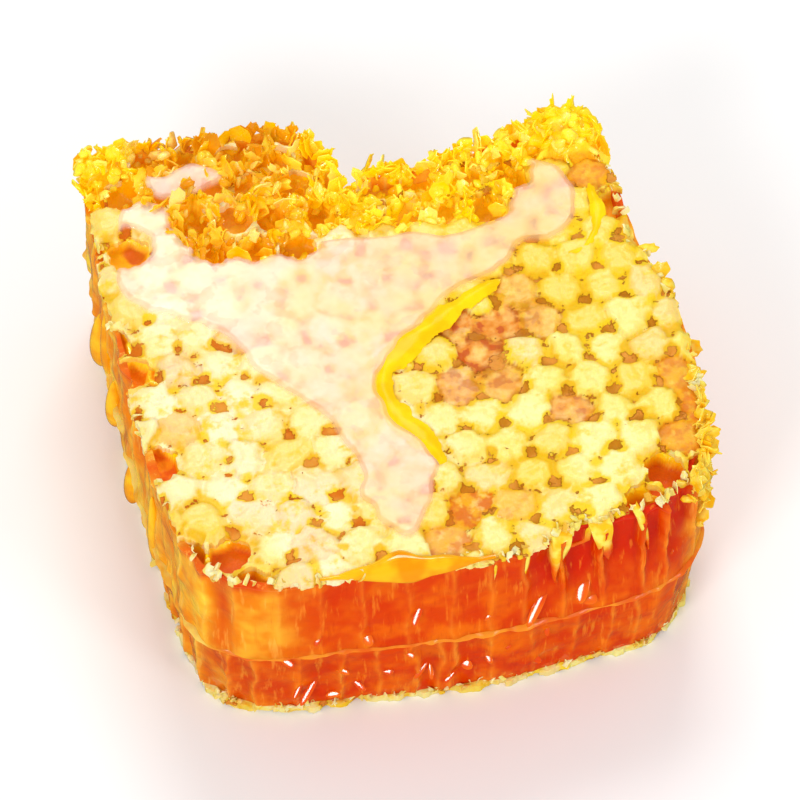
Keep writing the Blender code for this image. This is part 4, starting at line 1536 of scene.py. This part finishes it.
def front_drops():
    """Drops and wet runs of honey over the cut front."""
    rng = np.random.default_rng(141)
    drops = []
    for k, (x, height, half_width, half_length, turn) in enumerate(DROPS):
        point, outward = outline_at((x, -0.98))
        heights = (LOWER_CAPPING_TOP, MIDRIB_TOP, UPPER_CELLS_TOP)
        tuck = np.interp(height * MM, heights, (BASE_TUCK, 0.25 * MM, 0))
        tuck += DRAINED_HOLLOW * 0.45 * drained(point) - 0.12 * MM
        spot = point - outward * tuck
        facing = direction(DROPS_AZIMUTH + rng.uniform(-3, 3), DROPS_ELEVATION + rng.uniform(-3, 3))
        sizes = np.array((half_width, half_length, math.sqrt(half_width * half_length)))
        sizes = sizes * DROP_STRETCH * MM
        drops.append(honey_lens(f"drop_{k}", (*spot, height * MM), facing, sizes, math.radians(turn)))
    return joined("honey_drops", drops)


# Everything in its place


def belongs(piece, slot, *nodes):
    """Fixes a piece to the block, and hides the solids it stands for. The finish it is given is not used."""
    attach(piece, "root")
    if nodes:
        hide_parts(*nodes)
    return piece


def loose_wax(torn, core):
    """Crumbs, flakes and shards of wax on the tear, the tuft, the capping's edge, the foot and the corner."""
    x, y = OUTER.points[:, 0] / HALF_WIDTH, OUTER.points[:, 1] / HALF_DEPTH
    level = np.zeros(len(OUTER.points))
    front = smoothstep(0.2, 0.8, -OUTER.outward[:, 1])
    behind = OUTER.points[:, 1] > tear_line(OUTER.points[:, 0])
    edge = np.where(behind, 0, 0.25 + 0.75 * front)
    setback = CAPPING_INSET + CAPPING_SETBACK * drained(OUTER.points) * np.maximum(0, -OUTER.outward[:, 1])
    beside = smoothstep(0.78, 0.95, x) * smoothstep(-0.95, -0.7, y)
    beside = beside * (0.12 + 0.88 * smoothstep(-0.3, -0.65, y)) * smoothstep(0.5, 0.1, y)
    strip = capping_edge_strip("strip", CAPPING_VALLEY - 0.7 * MM, setback, edge)
    foot = capping_edge_strip("foot", LOWER_CAPPING_TOP - 0.2 * MM, level + BASE_TUCK, 0.3 + 0.7 * front)
    hem = capping_edge_strip("hem", UPPER_CELLS_TOP + 0.4 * MM, level + 0.1 * MM, behind.astype(float))
    corner = side_band("corner", 15 * MM, 31 * MM, 0.3 * MM, beside)
    flake = wax_flake("flake", 5)
    shard = wax_flake("shard", 6, thick=0.1, curl=0.2, taper=0.1)
    crumb = wax_crumb("crumb", 7)

    # What the bits stand on, which bit and look they have, how many there are to a square metre, the
    # smallest and the largest in millimetres, how far they lean, how well they follow the surface, seed.
    tiny, small, bigger = (0.5, 0.5, 0.4), (0.8, 0.8, 0.8), (2.0, 1.6, 1.5)
    rows = (
        ("torn_crumbs", torn, crumb, TORN_WAX, 6.0e5, (0.6, 0.6, 0.6), (2.4, 2.4, 1.8), 1.2, 0.6, 4),
        ("tuft_crumbs", core, crumb, TORN_WAX, 6.0e5, (0.7, 0.7, 0.7), (2.6, 2.6, 2.6), 1.2, 0.6, 5),
        ("torn_flakes", torn, flake, TORN_WAX, 2.6e5, (1.0, 1.0, 0.8), (2.6, 2.2, 2.2), 0.75, 0.3, 3),
        ("torn_walls", torn, shard, TORN_WAX, 1.4e5, (1.2, 1.2, 1.2), (3.6, 2.2, 3.2), 0.6, 0.0, 19),
        ("tuft_flakes", core, shard, TORN_WAX, 3.2e5, (1.0, 1.0, 1.0), (2.4, 2.2, 3.1), 0.8, 0.75, 8),
        ("capping_crumbs", strip, flake, CRUMBS, 1.5e6, tiny, bigger, 1.3, 0.0, 12),
        ("foot_crumbs", foot, flake, CRUMBS, 1.6e6, tiny, bigger, 1.2, 0.0, 15),
        ("torn_rim_flakes", hem, shard, TORN_WAX, 1.6e6, (1.2, 1.2, 1.2), (3.0, 2.4, 2.8), 0.6, 0.0, 29),
        ("corner_flakes", corner, shard, CUT_WALL_WAX, 1.4e6, small, (3.0, 2.0, 2.4), 0.9, 0.25, 23),
        ("corner_crumbs", corner, crumb, CUT_WALL_WAX, 1.3e6, small, (2.6, 2.6, 2.6), 1.2, 0.5, 31),
    )
    bits = scatter_tree()
    pieces = []
    for name, bed, bit, look, density, smallest, largest, lean, follow, seed in rows:
        values = {
            "Per square metre": density,
            "Smallest": tuple(n * MM for n in smallest),
            "Largest": tuple(n * MM for n in largest),
            "Lean": lean,
            "Follow surface": follow,
            "Seed": seed,
        }
        pieces.append(scattered(name, bits, bed, bit, look, values))
    for helper in (strip, foot, hem, corner, flake, shard, crumb):
        bpy.data.objects.remove(helper)
    return pieces


def side_drips():
    """Fat drips of honey down the left side."""
    drips = []
    for k, (share, height, wide, tall, proud) in enumerate(DRIPS):
        point, outward = outline_at(share)
        sizes = (wide * MM, tall * MM, proud * MM)
        drips.append(honey_drop(f"drip_{k}", (*point, height * MM), outward, sizes, DRIP_HONEY))
    return joined("side_drips", drips)


def build_block():
    """Makes every piece and fixes it to the block."""
    domes = cap_domes_tree()

    belongs(upper_capping(domes), "capping_wax", "capping_upper")
    belongs(lower_capping(domes), "capping_wax", "capping_lower")
    belongs(midrib_ledge(), "midrib_wax", "midrib")

    lean = (-BASE_TUCK, -0.4 * BASE_TUCK, -0.1 * BASE_TUCK)
    floor = LOWER_CAPPING_TOP - SEAL
    top = np.full(len(OUTER.points), MIDRIB_UNDERSIDE + SEAL)
    lower = cut_layer("cut_honey_lower", LOWER_MIDDLES, floor, top, 32, lean, (0.7, 1, 0.9, 0.5), 110)
    belongs(lower, "honey_cells", "comb_lower")
    lean, hollows = (0.1 * MM, 0, 0), (0.3, 0.6, 1, 1)
    floor = MIDRIB_TOP - SEAL
    upper = cut_layer("cut_honey_upper", UPPER_MIDDLES, floor, torn_edge(), 38, lean, hollows, 120)
    belongs(upper, "honey_cells", "comb_upper")

    torn = belongs(torn_cells(), "honey_cells", "comb_upper")
    core = belongs(tuft_core(), "honey_cells", "comb_upper")
    for piece in loose_wax(torn, core):
        belongs(piece, "capping_wax")

    # Thin honey: where it lies, the height of its edge, its rise and the width of its brink in millimetres.
    valley = CAPPING_VALLEY
    sheets = (
        ("honey_film", spread_field(FILM, True), valley + 0.35 * MM, 0.66, 0.75, FILM_HONEY),
        ("honey_on_tear", spread_field(TORN_PATCH, False), UPPER_CELLS_TOP + 2.2 * MM, 0.75, 0.8, FILM_HONEY),
        ("honey_rim", run_field(FILM_RIM, 1.65 * MM, 95), valley + 0.36 * MM, 0.56, 1.3, RIM_HONEY),
        ("patch_rim", run_field(PATCH_RIM, 0.8 * MM, 99), valley + 0.4 * MM, 0.42, 0.8, RIM_HONEY),
    )
    for name, field, height, rise, brink, look in sheets:
        belongs(honey_sheet(name, field, height, rise * MM, brink * MM, look), "honey_cells")
    lip = hanging_honey("honey_lip", -0.5 * HALF_WIDTH, 0.14 * HALF_WIDTH, 1.7 * MM, LIP_HONEY, 131)
    belongs(lip, "honey_cells")

    belongs(side_drips(), "honey_cells")
    belongs(front_drops(), "honey_cells")
    for k, (x, y, tall, wide, blunt) in enumerate(BLADES):
        blade = wall_blade(f"cut_wall_{k}", (x, y), tall * MM, wide * MM, blunt, k + 1)
        belongs(blade, "capping_wax")


def aimed(obj, azimuth, elevation, distance, target):
    """Moves a lamp or the camera out from a target, and turns it back to face that."""
    away = direction(azimuth, elevation)
    obj.location = Vector(target) + away * distance
    obj.rotation_euler = away.to_track_quat("Z", "Y").to_euler()


def table_and_light():
    """A pale table, three softboxes and an even sky; to reflections both table and sky are dark."""
    mesh = bpy.data.meshes.new("table")
    reach = 3.0
    corners = [(-reach, -reach, 0), (reach, -reach, 0), (reach, reach, 0), (-reach, reach, 0)]
    mesh.from_pydata(corners, [], [(0, 1, 2, 3)])
    white = bpy.data.materials.new("white table")
    white.use_nodes = True
    shader = white.node_tree.nodes["Principled BSDF"]
    w = Wiring(white.node_tree)
    seen = w.add("ShaderNodeLightPath").outputs["Is Glossy Ray"]
    w.feed(shader.inputs["Base Color"], w.blend(seen, (0.96, 0.96, 0.96, 1), (0.12, 0.12, 0.12, 1)))
    shader.inputs["Roughness"].default_value = 0.6
    mesh.materials.append(white)
    table = placed("table", mesh)

    # Softboxes: azimuth and elevation, distance, size and power.
    softboxes = (
        ("softbox behind", 168.5, 54, 0.9, 0.34, 2.8),
        ("softbox front left", -40, 36, 0.9, 0.25, 2.7),
        ("softbox front right", 36, 26, 1.0, 0.25, 1.7),
    )
    for name, azimuth, elevation, distance, size, power in softboxes:
        data = bpy.data.lights.new(name, "AREA")
        data.shape = "SQUARE"
        data.size = size
        data.energy = power
        aimed(placed(name, data), azimuth, elevation, distance, (0, 0, 0.018))
    world = bpy.data.worlds.new("studio")
    world.use_nodes = True
    w = Wiring(world.node_tree)
    sky = world.node_tree.nodes["Background"]
    sky.inputs["Color"].default_value = (1, 1, 1, 1)
    seen = w.add("ShaderNodeLightPath").outputs["Is Glossy Ray"]
    w.feed(sky.inputs["Strength"], w.fade(seen, 0.0, 1.0, 0.62, 0.08))
    bpy.context.scene.world = world


def camera():
    """The camera, far off with a long lens."""
    data = bpy.data.cameras.new("camera")
    data.lens = 250
    data.sensor_width = 36
    data.clip_end = 10
    view = placed("camera", data)
    aimed(view, VIEW_AZIMUTH, VIEW_ELEVATION, VIEW_DISTANCE, VIEW_TARGET)
    bpy.context.scene.camera = view
    bpy.context.scene.view_settings.view_transform = "Standard"


build_block()
table_and_light()
camera()
